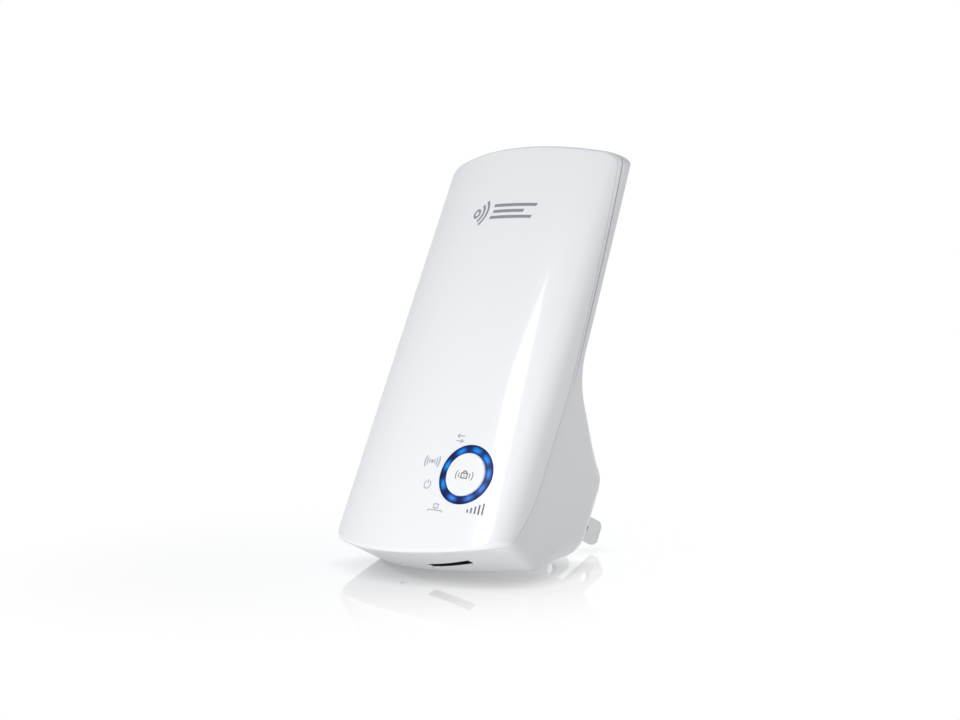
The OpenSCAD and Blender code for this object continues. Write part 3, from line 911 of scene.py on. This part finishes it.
@dataclass
class Shells:
    """The two halves of the case, as thin closed shells over the body's form.

    Each shell is a grid: columns run round the outline, and rows run over the surface
    from an opening to the seam, back along the inside, and close. A second groove runs
    behind the seam; its numbers are its start, its end and its depth, and it fades out
    towards the bottom. The port's numbers are its front and its back, and those of a cut
    are the middle and the half size of the block that is taken away.
    """

    form: BodyForm
    place: Place
    columns: int = 440
    thickness: float = 1.6
    seam_gap: float = 0.05
    ring_clearance: float = 0.07
    groove: tuple[float, float, float] = (0.72, 1.08, 0.42)
    groove_fade: tuple[float, float] = (40.0, 75.0)
    core_depth: float = 3.0
    face_inset: tuple[float, float] = (5.6, 3.2)
    face_spread: float = 1.25
    cover_grids: tuple[tuple[int, int], tuple[int, int]] = ((54, 44), (14, 14))
    house_grids: tuple[tuple[int, int, int], tuple[int, int, int]] = ((26, 26, 44), (10, 10, 20))
    outer_inset: Inset = Inset(2.4, 2.2, 2.2, 3.0)
    inner_inset: Inset = Inset(4.0, 3.6, 1.2, 2.4)
    boot_inset: float = 3.2
    low_inset: float = 6.0
    boot_reach: tuple[float, float] = (-60.0, -32.0)
    port: tuple[float, float] = (8.7, 11.3)
    port_half: float = 7.3
    port_cut: tuple[float, float] = (1.0, 4.9)
    liner_wall: float = 0.2
    liner_gap: float = 0.05
    liner_sink: float = 0.3
    liner_steps: int = 16
    pin_radius: float = 0.8
    pin_ends: tuple[float, float] = (-2.0, 5.0)
    label_half: float = 22.08
    label_gap: float = 0.08
    label_cut: tuple[float, float] = (0.3, 0.5)
    outline: Array = field(init=False)
    ring_radius: float = field(init=False)

    def __post_init__(self) -> None:
        """Works out the outline and reads the size of the light ring."""
        self.outline = self.form.outline(self.columns)
        low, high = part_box("light_ring")
        self.ring_radius = (high.x - low.x) / 2 / MM + self.ring_clearance

    def over(self, flat: Array, level: float, back: bool) -> Array:
        """Lifts points of the front view to the front or back surface, along y.

        Args:
            flat: The x and z of each point.
            level: Level of the field to reach.
            back: Whether to go to the back.

        Returns:
            The points on the surface.
        """
        x, z = flat[..., 0], flat[..., 1]
        form = self.form
        face = form.bulge(x)
        lean = form.back_top + (form.height - z) * form.back_lean
        start = (face + lean) / 2 if back else face + self.core_depth
        sign = 1.0 if back else -1.0

        def path(t: Array) -> Array:
            """Points at distance t along y."""
            return np.stack([x + 0 * t, start + sign * t, z + 0 * t], axis=-1)

        return form.hit(path, 60.0 if back else 8.0, level)

    def along_seam(self, inner: Array, offset: Array | float, level: Array | float,
                   aim: Array | float = 0.0, share: float = 0.0) -> Array:
        """Goes out from an inner outline in a surface that follows the seam, to the outside.

        The depth at each height is (1 - share) (seam + offset) + share * aim.

        Args:
            inner: The x and z of the starting points.
            offset: Distance behind the seam.
            level: Level of the field to reach.
            aim: Depth that the surface turns into as share goes to 1.
            share: How far it has turned.

        Returns:
            The points on the surface.
        """
        run = self.outline - inner

        def path(t: Array) -> Array:
            """Points at t times the way to the outline."""
            x = inner[:, 0] + t * run[:, 0]
            z = inner[:, 1] + t * run[:, 1]
            y = (1.0 - share) * (self.form.seam(z) + offset) + share * aim
            return np.stack([x, y + 0 * t, z], axis=-1)

        return self.form.hit(path, 2.2, level)

    def fan(self, centre: Array, first: Array, last: Array, count: int, level: float) -> Array:
        """Turns a ray about a centre from one point to another and follows the surface.

        The direction at share f is (sin((1 - f) w) a + sin(f w) b) / sin w, with w the
        angle between a and b.

        Args:
            centre: Points that the rays start from.
            first: Points that the first rays go through.
            last: Points that the last rays go through.
            count: Number of steps between them.
            level: Level of the field to reach.

        Returns:
            The points, without the first row.
        """
        a = first - centre
        b = last - centre
        a /= np.linalg.norm(a, axis=-1, keepdims=True)
        b /= np.linalg.norm(b, axis=-1, keepdims=True)
        angle = np.arccos(np.clip((a * b).sum(-1), -1.0, 1.0))[None, :, None]
        f = (np.arange(1, count + 1) / count)[:, None, None]
        way = (np.sin((1 - f) * angle) * a + np.sin(f * angle) * b) / np.sin(angle)

        def path(t: Array) -> Array:
            """Points at distance t along the rays."""
            return centre + way * (t[..., None] if t.ndim > 1 else t)

        return self.form.hit(path, 30.0, level)

    def cover_rows(self, level: float, rows: tuple[int, int]) -> Array:
        """Rows of the cover, from the ring's hole to the seam.

        Args:
            level: Level of the field: 0 outside, minus the thickness inside.
            rows: Number of rows over the face and round the edge.

        Returns:
            The points, by row and column.
        """
        form, mid = self.form, self.form.height / 2
        inner = np.stack([
            self.outline[:, 0] * (1 - self.face_inset[0] / (form.width / 2)),
            mid + (self.outline[:, 1] - mid) * (1 - self.face_inset[1] / mid),
        ], axis=1)
        centre = self.place.middle("light_ring")
        away = inner - centre
        hole = centre + self.ring_radius * away / np.linalg.norm(away, axis=1, keepdims=True)
        share = np.linspace(0.0, 1.0, rows[0])[:, None, None] ** self.face_spread
        face = self.over(hole + (inner - hole) * share, level, back=False)
        x, z = inner.T
        origin = np.stack([x, form.bulge(x) + self.core_depth, z], axis=1)
        end = self.along_seam(inner, -0.08, level)
        edge = self.fan(origin, face[-1], end, rows[1], level)
        last = self.along_seam(inner, 0.0, level - 0.06 if level == 0 else level)
        return np.concatenate([face, edge, last[None]], axis=0)

    def house_rows(self, level: float, rows: tuple[int, int, int]) -> Array:
        """Rows of the housing, from the seam to the seat of the plug carrier.

        Args:
            level: Level of the field: 0 outside, minus the thickness inside.
            rows: Number of rows along the side, round the rear edge and over the back.

        Returns:
            The points, by row and column.
        """
        form, outline = self.form, self.outline
        outside = level == 0
        boot = ramp(-outline[:, 1], *self.boot_reach)
        inset = self.outer_inset if outside else self.inner_inset
        side_inset = inset.side + self.boot_inset * boot
        low = self.low_inset
        inner = np.stack([
            outline[:, 0] * (1 - side_inset / (form.width / 2)),
            low + outline[:, 1] * (form.height - low - inset.top) / form.height,
        ], axis=1)
        gap = self.seam_gap
        if outside:
            start, stop, depth = self.groove
            deep = -depth * ramp(outline[:, 1], *self.groove_fade)
            marks = ((0.0, -0.06), (0.08, 0.0), (start - 0.04, 0.0), (start, deep), (stop, deep),
                     (stop + 0.04, 0.0), (stop + 0.2, 0.0))
        else:
            marks = ((0.0, level),)
        seam = np.stack([self.along_seam(inner, gap + off, at) for off, at in marks])
        behind = gap + marks[-1][0]
        shoulder = self.over(inner, level, back=True)
        keep = inset.turn + inset.boot_turn * boot
        turn_y = np.maximum(shoulder[:, 1] - keep, form.seam(inner[:, 1]) + behind + 0.05)
        side = np.stack([
            self.along_seam(inner, behind, level, turn_y, share)
            for share in np.linspace(0.0, 1.0, rows[0] + 1)[1:]
        ])
        origin = np.stack([inner[:, 0], turn_y, inner[:, 1]], axis=1)
        rear = self.fan(origin, side[-1], shoulder, rows[1], level)
        low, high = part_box("plug_carrier")
        centre = self.place.middle("plug_carrier")
        half = np.array([high.x - low.x, high.z - low.z]) / 2 / MM + 0.06
        way = inner - centre
        seat = centre + way * np.min(half / np.maximum(np.abs(way), 1e-6), axis=1, keepdims=True)
        for corner in ((1, 1), (1, -1), (-1, 1), (-1, -1)):
            point = centre + half * corner
            seat[np.argmin(np.hypot(*(seat - point).T))] = point
        share = np.linspace(0.0, 1.0, rows[2] + 1)[1:, None, None]
        back = self.over(inner + (seat - inner) * share, level, back=True)
        return np.concatenate([seam, side, rear, back], axis=0)

    def shell(self, name: str, outer: Array, inner: Array) -> bpy.types.Object:
        """Closes an outer and an inner set of rows into one shell.

        Args:
            name: Name of the piece.
            outer: Rows of the outside.
            inner: Rows of the inside, in the same order.

        Returns:
            The shell.
        """
        rows = np.concatenate([outer, inner[::-1]], axis=0)
        points = self.place.metres(rows.reshape(-1, 3))
        faces = grid_faces(rows.shape[0], rows.shape[1], True, True)
        if volume(points, faces) < 0:
            faces = faces[:, ::-1]
        return new_mesh(name, points, faces)

    def carve(self, piece: bpy.types.Object, blocks: list[tuple[Array, Array, float]],
              pin: tuple[float, float, float, float, float]) -> None:
        """Cuts blocks and one round upright hole out of a piece.

        Args:
            piece: The piece.
            blocks: Middle and half size of each block, in millimetres, and its lean about X.
            pin: The hole's x, y, radius, lower end and upper end.
        """
        corners = np.array([[x, y, z] for x in (-1, 1) for y in (-1, 1) for z in (-1, 1)], float)
        sides = np.array([
            [0, 1, 3, 2], [4, 6, 7, 5], [0, 4, 5, 1], [2, 3, 7, 6], [0, 2, 6, 4], [1, 5, 7, 3],
        ])
        points, faces = [], []
        for k, (middle, half, lean) in enumerate(blocks):
            c, s = math.cos(lean), math.sin(lean)
            turn = np.array([[1, 0, 0], [0, c, -s], [0, s, c]])
            points.append((corners * half) @ turn.T + middle)
            faces.append(sides + 8 * k)
        turn = np.linspace(0.0, 2 * math.pi, PIN_SIDES, endpoint=False)
        ring = np.stack([pin[0] + pin[2] * np.cos(turn), pin[1] + pin[2] * np.sin(turn)], axis=-1)
        points += [np.column_stack([ring, np.full(PIN_SIDES, z)]) for z in pin[3:]]
        first = 8 * len(blocks)
        loops = np.concatenate(faces).tolist()
        loops += (grid_faces(2, PIN_SIDES, False, True) + first).tolist()
        loops.append(list(range(first, first + PIN_SIDES))[::-1])
        loops.append(list(range(first + PIN_SIDES, first + 2 * PIN_SIDES)))
        cutter = new_mesh("cutter", self.place.metres(np.concatenate(points)), loops)
        cut = piece.modifiers.new("cut", "BOOLEAN")
        cut.operation = "DIFFERENCE"
        cut.object = cutter
        cut.solver = "EXACT"
        cut_piece = piece.evaluated_get(bpy.context.evaluated_depsgraph_get())
        done = bpy.data.meshes.new_from_object(cut_piece)
        piece.modifiers.clear()
        old = piece.data
        piece.data = done
        bpy.data.meshes.remove(old)
        bpy.data.objects.remove(cutter)

    def liner(self, across: tuple[float, float], deep: tuple[float, float], top: float,
              wardrobe: Wardrobe) -> None:
        """Black sleeve in the port: a rectangle carried from just above the outside up to the jack.

        Args:
            across: Its lowest and highest x.
            deep: Its lowest and highest y.
            top: Height of its upper end.
            wardrobe: The materials.
        """
        step = np.linspace(0.0, 1.0, self.liner_steps, endpoint=False)
        rows = []
        wall = self.liner_wall
        for inset, high in ((0.0, False), (0.0, True), (wall, True), (wall, False)):
            x0, x1, y0, y1 = across[0] + inset, across[1] - inset, deep[0] + inset, deep[1] - inset
            x, y = (
                np.concatenate([a + (b - a) * step for a, b in zip(ends, ends[1:] + ends[:1])])
                for ends in ((x0, x1, x1, x0), (y0, y0, y1, y1))
            )

            def path(t: Array) -> Array:
                """Points at distance t straight down from inside the body."""
                return np.stack([x + 0 * t, y + 0 * t, 8.0 - t + 0 * x], axis=-1)

            low = self.form.hit(path, 12.0, -self.liner_sink)[..., 2]
            rows.append(np.stack([x, y, np.maximum(low + 0.2, top) if high else low], axis=-1))
        sleeve = self.shell("port_liner", np.array(rows[:2]), np.array(rows[2:])[::-1])
        soften(sleeve, 30.0)
        wardrobe.dress(sleeve, "jack_black")
        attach(sleeve, "extender")
        log.info("port_liner runs up to the socket")

    def build(self, wardrobe: Wardrobe) -> None:
        """Builds both shells and dresses them.

        Args:
            wardrobe: The materials.
        """
        cover = self.shell(
            "cover_shell", self.cover_rows(0.0, self.cover_grids[0]),
            self.cover_rows(-self.thickness, self.cover_grids[1]),
        )
        soften(cover, 32.0)
        wardrobe.dress(cover, "cover_white")
        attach(cover, "extender")
        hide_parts("front_cover")
        log.info("cover_shell stands for front_cover")
        housing = self.shell(
            "housing_shell", self.house_rows(0.0, self.house_grids[0]),
            self.house_rows(-self.thickness, self.house_grids[1]),
        )
        form = self.form
        port_x = self.place.middle("ethernet_jack")[0]
        port_front, port_back = self.port
        pin_low, pin_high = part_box("reset_plunger")
        pin_x = self.place.middle("reset_plunger")[0]
        pin_y = ((pin_low.y + pin_high.y) / 2 - self.place.front) / MM
        lean = math.atan(form.back_lean)
        label_low, label_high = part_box("rating_label")
        label_z = self.place.middle("rating_label")[1]
        label_half = (label_high.z - label_low.z) / 2 / MM / math.cos(lean) + self.label_gap
        label_y = form.back_top + (form.height - label_z) * form.back_lean
        port_z, port_rise = self.port_cut
        sink, deep = self.label_cut
        self.carve(housing, [
            (np.array([port_x, (port_front + port_back) / 2, port_z]),
             np.array([self.port_half, (port_back - port_front) / 2, port_rise]), 0.0),
            (np.array([0.0, label_y + sink, label_z]),
             np.array([self.label_half, deep, label_half]), lean),
        ], (pin_x, pin_y, self.pin_radius, *self.pin_ends))
        soften(housing, 32.0)
        wardrobe.dress(housing, "housing_white")
        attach(housing, "extender")
        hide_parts("rear_housing")
        log.info("housing_shell stands for rear_housing")
        top = (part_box("ethernet_jack")[0].z - self.place.base) / MM
        reach = self.port_half - self.liner_gap
        deep = (port_front + self.liner_gap, port_back - self.liner_gap)
        self.liner((port_x - reach, port_x + reach), deep, top - 0.03, wardrobe)


# ---------------------------------------------------------------- button cap

@dataclass
class ButtonCap:
    """Round push button inside the light ring, crowned like the cover and rounded at its rim."""

    form: BodyForm
    place: Place
    proud: float = 0.3
    rim: float = 0.35
    skirt: float = 2.6
    wall: float = 0.9
    crown_thickness: float = 1.2
    stem_radius: float = 1.6
    columns: int = 128

    def build(self, wardrobe: Wardrobe) -> None:
        """Builds the cap: rings at the crowned surface, a quarter-round rim, the skirt and a stem.

        Args:
            wardrobe: The materials.
        """
        low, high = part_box("wps_button")
        radius = (high.x - low.x) / 2 / MM
        centre = self.place.middle("wps_button")
        back = (high.y - self.place.front) / MM
        turn = np.linspace(0.0, 2 * math.pi, self.columns, endpoint=False)
        bend = np.linspace(0.0, math.pi / 2, 8)[1:]
        flat = np.linspace(0.02, 1.0, 14) * (radius - self.rim)
        inside, crown = radius - self.wall, self.crown_thickness
        rings = np.concatenate([
            flat, radius - self.rim + self.rim * np.sin(bend), [radius, inside, inside],
        ])
        drop = np.concatenate([
            np.zeros(flat.size), self.rim * (1 - np.cos(bend)), [self.skirt, self.skirt, crown],
        ])
        stem = np.array([[self.stem_radius, crown], [self.stem_radius, back], [0.02, back]])
        x = centre[0] + rings[:, None] * np.cos(turn)
        z = centre[1] + rings[:, None] * np.sin(turn)
        y = self.form.bulge(x, self.proud) + drop[:, None]
        rows = np.stack([x, y, z], axis=-1)
        sx = centre[0] + stem[:, :1] * np.cos(turn)
        sz = centre[1] + stem[:, :1] * np.sin(turn)
        first = self.form.bulge(sx[:1], self.proud) + crown
        sy = np.concatenate([first, np.broadcast_to(stem[1:, 1:], sx[1:].shape)])
        rows = np.concatenate([rows, np.stack([sx, sy, sz], axis=-1)], axis=0)
        points = rows.reshape(-1, 3)
        faces = grid_faces(rows.shape[0], rows.shape[1], False, True).tolist()
        faces.append(list(range(self.columns))[::-1])
        end = (rows.shape[0] - 1) * self.columns
        faces.append([end + k for k in range(self.columns)])
        cap = new_mesh("button_cap", self.place.metres(points), faces)
        face_outward(cap)
        soften(cap, 35.0)
        wardrobe.dress(cap, "button_white")
        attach(cap, "button")
        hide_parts("wps_button")
        log.info("button_cap stands for wps_button")


# ---------------------------------------------------------------- printed marks

@dataclass(frozen=True)
class Stroke:
    """One printed line: points in millimetres of the front view, and its width."""

    points: tuple[tuple[float, float], ...]
    width: float
    closed: bool = False


def arc(centre: tuple[float, float], radius: float, start: float, stop: float,
        width: float) -> Stroke:
    """A stroke along part of a circle.

    Args:
        centre: The circle's centre.
        radius: Its radius.
        start: First angle, in degrees.
        stop: Last angle, in degrees.
        width: Width of the line.

    Returns:
        The stroke.
    """
    a = np.radians(np.linspace(start, stop, max(9, int(abs(stop - start) / 8))))
    closed = abs(stop - start) >= 359.9
    pts = [(centre[0] + radius * math.cos(v), centre[1] + radius * math.sin(v)) for v in a]
    return Stroke(tuple(pts[:-1] if closed else pts), width, closed)


def lines(width: float, *paths: tuple[tuple[float, float], ...]) -> list[Stroke]:
    """Open strokes of one width, one along each path."""
    return [Stroke(path, width) for path in paths]


@dataclass
class Print:
    """A group of strokes laid on the bulged face as a thin film of ink."""

    name: str
    strokes: list[Stroke]
    at: tuple[float, float]
    body: str = "extender"
    finish: str = "print_ink"
    slant: float = 0.0
    lift: float = 0.0
    film: float = 0.025

    def ribbon(self, stroke: Stroke) -> tuple[Array, Array]:
        """Widens a stroke: each point moves half the width along the line's mean normal.

        Args:
            stroke: The stroke.

        Returns:
            The left and right borders, in the front view.
        """
        p = np.array(stroke.points, float)
        if stroke.closed:
            ahead, behind = np.roll(p, -1, axis=0), np.roll(p, 1, axis=0)
        else:
            if len(p) == 2:
                p = p[0] + (p[1] - p[0]) * np.linspace(0, 1, 5)[:, None]
            ahead = np.concatenate([p[1:], p[-1:] * 2 - p[-2:-1]])
            behind = np.concatenate([p[:1] * 2 - p[1:2], p[:-1]])
        u = ahead - p
        v = p - behind
        u /= np.linalg.norm(u, axis=1, keepdims=True)
        v /= np.linalg.norm(v, axis=1, keepdims=True)
        mean = u + v
        mean /= np.linalg.norm(mean, axis=1, keepdims=True)
        normal = np.stack([-mean[:, 1], mean[:, 0]], axis=1)
        corner = np.clip((mean * u).sum(1), 0.5, 1.0)[:, None]
        half = stroke.width / 2 / corner
        return p + normal * half, p - normal * half

    def build(self, form: BodyForm, place: Place, wardrobe: Wardrobe) -> None:
        """Lays every stroke on the face at y = bulge(x) - film, and closes it behind.

        Args:
            form: The body's form.
            place: Where it stands.
            wardrobe: The materials.
        """
        points, faces, start = [], [], 0
        for stroke in self.strokes:
            left, right = self.ribbon(stroke)
            flat = np.concatenate([left, right])
            x = self.at[0] + flat[:, 0] + self.slant * flat[:, 1]
            z = self.at[1] + flat[:, 1]
            face = form.bulge(x, self.lift)
            n = len(left)
            front = np.stack([x, face - self.film, z], axis=1)
            rear = np.stack([x, face + 0.01, z], axis=1)
            points.append(np.concatenate([front, rear]))
            k = np.arange(n if stroke.closed else n - 1)
            j = (k + 1) % n
            quads = [
                np.stack([k, j, n + j, n + k], axis=1),
                np.stack([2 * n + k, 3 * n + k, 3 * n + j, 2 * n + j], axis=1),
                np.stack([k, 2 * n + k, 2 * n + j, j], axis=1),
                np.stack([n + k, n + j, 3 * n + j, 3 * n + k], axis=1),
            ]
            if not stroke.closed:
                m = n - 1
                quads.append(np.array([[0, n, 3 * n, 2 * n], [m, 2 * n + m, 3 * n + m, n + m]]))
            faces.append(np.concatenate(quads) + start)
            start += 4 * n
        piece = new_mesh(self.name, place.metres(np.concatenate(points)), np.concatenate(faces))
        face_outward(piece)
        wardrobe.dress(piece, self.finish)
        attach(piece, self.body)
        log.info("%s is printed on %s", self.name, self.body)


def prints() -> list[Print]:
    """Draws the generic pictograms on the face and on the button.

    Returns:
        The prints, in the order in which they are laid.
    """
    wave = [arc((0, 0), r, -34, 34, 0.34) for r in (0.95, 1.75, 2.55)]
    mirrored = [Stroke(tuple((-x, z) for x, z in s.points), s.width) for s in wave]
    dot = arc((0, 0), 0.22, 0, 360, 0.44)
    bars = lines(0.4, *(((1.02 * k, 0.0), (1.02 * k, 0.85 + 0.52 * k)) for k in range(5)))
    lock = [
        Stroke(((-0.85, -1.0), (0.85, -1.0), (0.85, 0.25), (-0.85, 0.25)), 0.27, True),
        arc((0, 0.3), 0.55, 0, 180, 0.27),
        Stroke(((0, -0.25), (0, -0.6)), 0.25),
    ]
    for r in (0.9, 1.75):
        lock.append(arc((0.75, -0.3), r, -38, 38, 0.2))
        lock.append(arc((-0.75, -0.3), r, 142, 218, 0.2))
    mark = [
        arc((-9.4, 0.0), 1.0, 0, 360, 0.7),
        arc((-9.4, 0.0), 2.6, -58, 58, 0.75),
        arc((-9.4, 0.0), 4.1, -52, 52, 0.75),
    ]
    mark += lines(0.85, ((-3.2, -1.55), (11.4, -1.55)), ((-2.9, 0.1), (8.0, 0.1)),
                  ((-3.4, 1.75), (11.4, 1.75)))
    net = [Stroke(((-0.7, -0.15), (0.7, -0.15), (0.7, 0.85), (-0.7, 0.85)), 0.26, True)]
    net += lines(0.26, ((0, -0.15), (0, -0.7)), ((-2.2, -0.7), (2.2, -0.7)),
                 ((-2.2, -0.7), (-2.2, -1.15)), ((2.2, -0.7), (2.2, -1.15)))
    power = [arc((0, 0), 1.05, 122, 418, 0.28), Stroke(((0, 0.25), (0, 1.35)), 0.28)]
    relay = lines(
        0.26, ((-1.1, -0.45), (0.9, -0.45)), ((0.35, -0.95), (1.05, -0.45), (0.35, 0.05)),
        ((1.1, 0.85), (-0.9, 0.85)), ((-0.35, 0.35), (-1.05, 0.85), (-0.35, 1.35)),
    )
    return [
        Print("maker_mark", mark, (1.6, 91.5), finish="mark_ink", slant=0.22),
        Print("relay_mark", relay, (12.5, 30.0)),
        Print("radio_mark", wave + mirrored + [dot], (5.6, 23.8)),
        Print("power_mark", power, (6.4, 17.8)),
        Print("network_mark", net, (11.4, 12.2)),
        Print("signal_bars", bars, (21.0, 11.95), finish="dark_ink", slant=-0.07),
        Print("lock_mark", lock, (17.3, 21.25), body="button", lift=0.3, finish="dark_ink"),
    ]


# ---------------------------------------------------------------- studio

@dataclass
class Viewpoint:
    """The camera: where it stands in metres, and its azimuth, elevation and roll in degrees."""

    spot: tuple[float, float, float]
    azimuth: float
    elevation: float
    roll: float
    lens: float = 90.0

    def build(self) -> None:
        """Places the camera and makes it the scene's."""
        a, e, r = (math.radians(v) for v in (self.azimuth, self.elevation, self.roll))
        back = Vector((math.sin(a) * math.cos(e), -math.cos(a) * math.cos(e), math.sin(e)))
        right = Vector((math.cos(a), math.sin(a), 0.0))
        up = back.cross(right)
        turned = math.cos(r) * right + math.sin(r) * up
        raised = -math.sin(r) * right + math.cos(r) * up
        data = bpy.data.cameras.new("camera")
        data.lens = self.lens
        data.sensor_width = 36.0
        data.clip_start = 0.01
        data.clip_end = 20.0
        camera = bpy.data.objects.new("camera", data)
        camera.matrix_world = Matrix(
            [[turned[k], raised[k], back[k], self.spot[k]] for k in range(3)] + [[0, 0, 0, 1]]
        )
        bpy.context.scene.collection.objects.link(camera)
        bpy.context.scene.camera = camera


@dataclass
class Softbox:
    """A rectangular area light that looks at a point."""

    name: str
    spot: tuple[float, float, float]
    aim: tuple[float, float, float]
    size: tuple[float, float]
    power: float
    spin: float = 0.0
    glossy: bool = True

    def build(self) -> None:
        """Adds the light."""
        data = bpy.data.lights.new(self.name, "AREA")
        data.shape = "RECTANGLE"
        data.size, data.size_y = self.size
        data.energy = self.power
        lamp = bpy.data.objects.new(self.name, data)
        way = Vector(self.aim) - Vector(self.spot)
        lamp.matrix_world = (
            Matrix.Translation(self.spot)
            @ way.to_track_quat("-Z", "Y").to_matrix().to_4x4()
            @ Matrix.Rotation(math.radians(self.spin), 4, "Z")
        )
        lamp.visible_glossy = self.glossy
        lamp.visible_camera = False
        bpy.context.scene.collection.objects.link(lamp)


@dataclass
class Studio:
    """White surround, lights and the floor that the case leans on.

    The surround's light at a direction d is ambient + lean (d . light_side), and the floor
    sends bounce times its white to the case. The mirror in the floor fades over mirror_reach
    from the foot, and the contact shade reaches contact_reach from the case.
    """

    ambient: float = 0.505
    lean: float = 0.17
    light_side: tuple[float, float, float] = (-0.45, -0.85, 0.25)
    tint: Colour = (0.97, 0.985, 1.0)
    far_wall: tuple[float, float] = (0.15, 0.5)
    bounce: float = 0.8
    floor_normal: tuple[float, float, float] = (0.05, -0.465, 0.884)
    floor_size: float = 3.0
    floor_gap: float = 0.0001
    contact_reach: float = 0.008
    contact_shade: float = 0.5
    mirror: float = 0.6
    mirror_reach: float = 0.115
    mirror_roughness: float = 0.04

    def world(self) -> None:
        """Makes the surround white to the camera and in far reflections, and softer as light."""
        world = bpy.data.worlds.new("surround")
        world.use_nodes = True
        tree = Tree(world.node_tree)
        out = tree.node("ShaderNodeOutputWorld")
        seen = tree.put(tree.node("ShaderNodeBackground"), Strength=1.0, Color=(1.0, 1.0, 1.0))
        way = tree.node("ShaderNodeTexCoord").outputs["Generated"]
        facing = tree.node("ShaderNodeVectorMath", operation="DOT_PRODUCT")
        tree.fill(facing.inputs[0], way)
        tree.fill(facing.inputs[1], self.light_side)
        strength = tree.math("MULTIPLY_ADD", facing.outputs["Value"], self.lean, self.ambient)
        rays = tree.node("ShaderNodeLightPath")
        axes = tree.put(tree.node("ShaderNodeSeparateXYZ"), Vector=way)
        low, high = self.far_wall
        far = tree.node("ShaderNodeMapRange", interpolation_type="SMOOTHSTEP")
        tree.put(far, From_Min=low, From_Max=high, Value=axes.outputs["Y"])
        white = tree.math("MULTIPLY", far.outputs[0], rays.outputs["Is Glossy Ray"])
        strength = tree.math("MULTIPLY_ADD", strength, tree.math("SUBTRACT", 1.0, white), white)
        light = tree.put(tree.node("ShaderNodeBackground"), Strength=strength, Color=self.tint)
        pick = tree.blend(rays.outputs["Is Camera Ray"], light.outputs[0], seen.outputs[0])
        tree.join(pick, out.inputs[0])
        bpy.context.scene.world = world

    def floor(self, points: Array) -> None:
        """Lays the floor under the lowest point along its normal.

        Args:
            points: Points of the case.
        """
        n = np.array(self.floor_normal)
        n = n / np.linalg.norm(n)
        level = float((points @ n).min()) - self.floor_gap
        across = np.cross([0.0, 1.0, 0.0], n)
        across /= np.linalg.norm(across)
        along = np.cross(n, across)
        foot = points[np.argmin(points @ n)]
        near = points.mean(axis=0)
        middle = near - n * (near @ n - level)
        corners = [
            middle + self.floor_size / 2 * (s * across + t * along)
            for s, t in ((-1, -1), (1, -1), (1, 1), (-1, 1))
        ]
        piece = new_mesh("floor", np.array(corners), np.array([[0, 1, 2, 3]]))
        if piece.data.polygons[0].normal.dot(Vector(n)) < 0:
            piece.data.flip_normals()
        piece.data.materials.append(self.floor_material(foot))

    def floor_material(self, foot: Array) -> bpy.types.Material:
        """White floor with a faint mirror near the case and a soft contact shade.

        Args:
            foot: Where the case touches the floor.

        Returns:
            The material, which is clear from below.
        """
        made = bpy.data.materials.new("floor")
        made.use_nodes = True
        tree = Tree(made.node_tree)
        out = tree.node("ShaderNodeOutputMaterial")
        shade = tree.put(
            tree.node("ShaderNodeAmbientOcclusion", samples=12), Distance=self.contact_reach
        )
        least = 1.0 - self.contact_shade
        soft = tree.math("MULTIPLY_ADD", shade.outputs["AO"], self.contact_shade, least)
        given = tree.node("ShaderNodeLightPath").outputs["Is Diffuse Ray"]
        glow = tree.put(
            tree.node("ShaderNodeEmission"), Color=tree.mix(soft, (0.0, 0.0, 0.0), (1.0, 1.0, 1.0)),
            Strength=tree.math("MULTIPLY_ADD", given, self.bounce - 1.0, 1.0),
        )
        mirror = tree.node("ShaderNodeBsdfGlossy")
        tree.put(mirror, Roughness=self.mirror_roughness, Color=(1.0, 1.0, 1.0))
        away = tree.node("ShaderNodeVectorMath", operation="DISTANCE")
        tree.fill(away.inputs[0], tree.node("ShaderNodeTexCoord").outputs["Object"])
        tree.fill(away.inputs[1], tuple(float(v) for v in foot))
        fade = tree.node("ShaderNodeMapRange", interpolation_type="SMOOTHSTEP")
        tree.put(fade, From_Min=0.0, From_Max=self.mirror_reach, To_Min=self.mirror, To_Max=0.0,
                 Value=away.outputs["Value"])
        clear = tree.node("ShaderNodeBsdfTransparent")
        back = tree.node("ShaderNodeNewGeometry").outputs["Backfacing"]
        top = tree.blend(fade.outputs[0], glow.outputs[0], mirror.outputs[0])
        tree.join(tree.blend(back, top, clear.outputs[0]), out.inputs[0])
        return made

    def build(self, points: Array) -> None:
        """Builds the surround, the lights and the floor.

        Args:
            points: Points of the case, for the floor's height.
        """
        self.world()
        beam_aim, low_aim = (0.0, -0.02, 0.03), (0.02, -0.03, -0.02)
        Softbox("beam", (-0.318, -1.44, 0.345), beam_aim, (0.12, 0.33), 0.8, spin=47.0).build()
        Softbox("low", (0.03, -0.25, -0.125), low_aim, (0.15, 0.15), 0.46, glossy=False).build()
        self.floor(points)
        view = bpy.context.scene.view_settings
        view.view_transform = "Standard"
        view.look = "None"


# ---------------------------------------------------------------- main


def main() -> None:
    """Builds every piece in order and reports it."""
    logging.basicConfig(level=logging.INFO, format="%(message)s")
    form, place = body_form()
    ring_low, ring_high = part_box("light_ring")
    centre = (ring_low + ring_high) / 2
    wardrobe = Wardrobe((centre.x, 0.0, centre.z))
    wardrobe.dress_frame()
    Viewpoint((0.456191, -0.396145, -0.130145), 51.3727, -15.1723, 17.5032).build()
    shells = Shells(form, place)
    shells.build(wardrobe)
    ButtonCap(form, place).build(wardrobe)
    for mark in prints():
        mark.build(form, place, wardrobe)
    case = bpy.data.objects["housing_shell"].data
    points = np.empty(len(case.vertices) * 3)
    case.vertices.foreach_get("co", points)
    Studio().build(points.reshape(-1, 3))


if __name__ == "__main__":
    main()
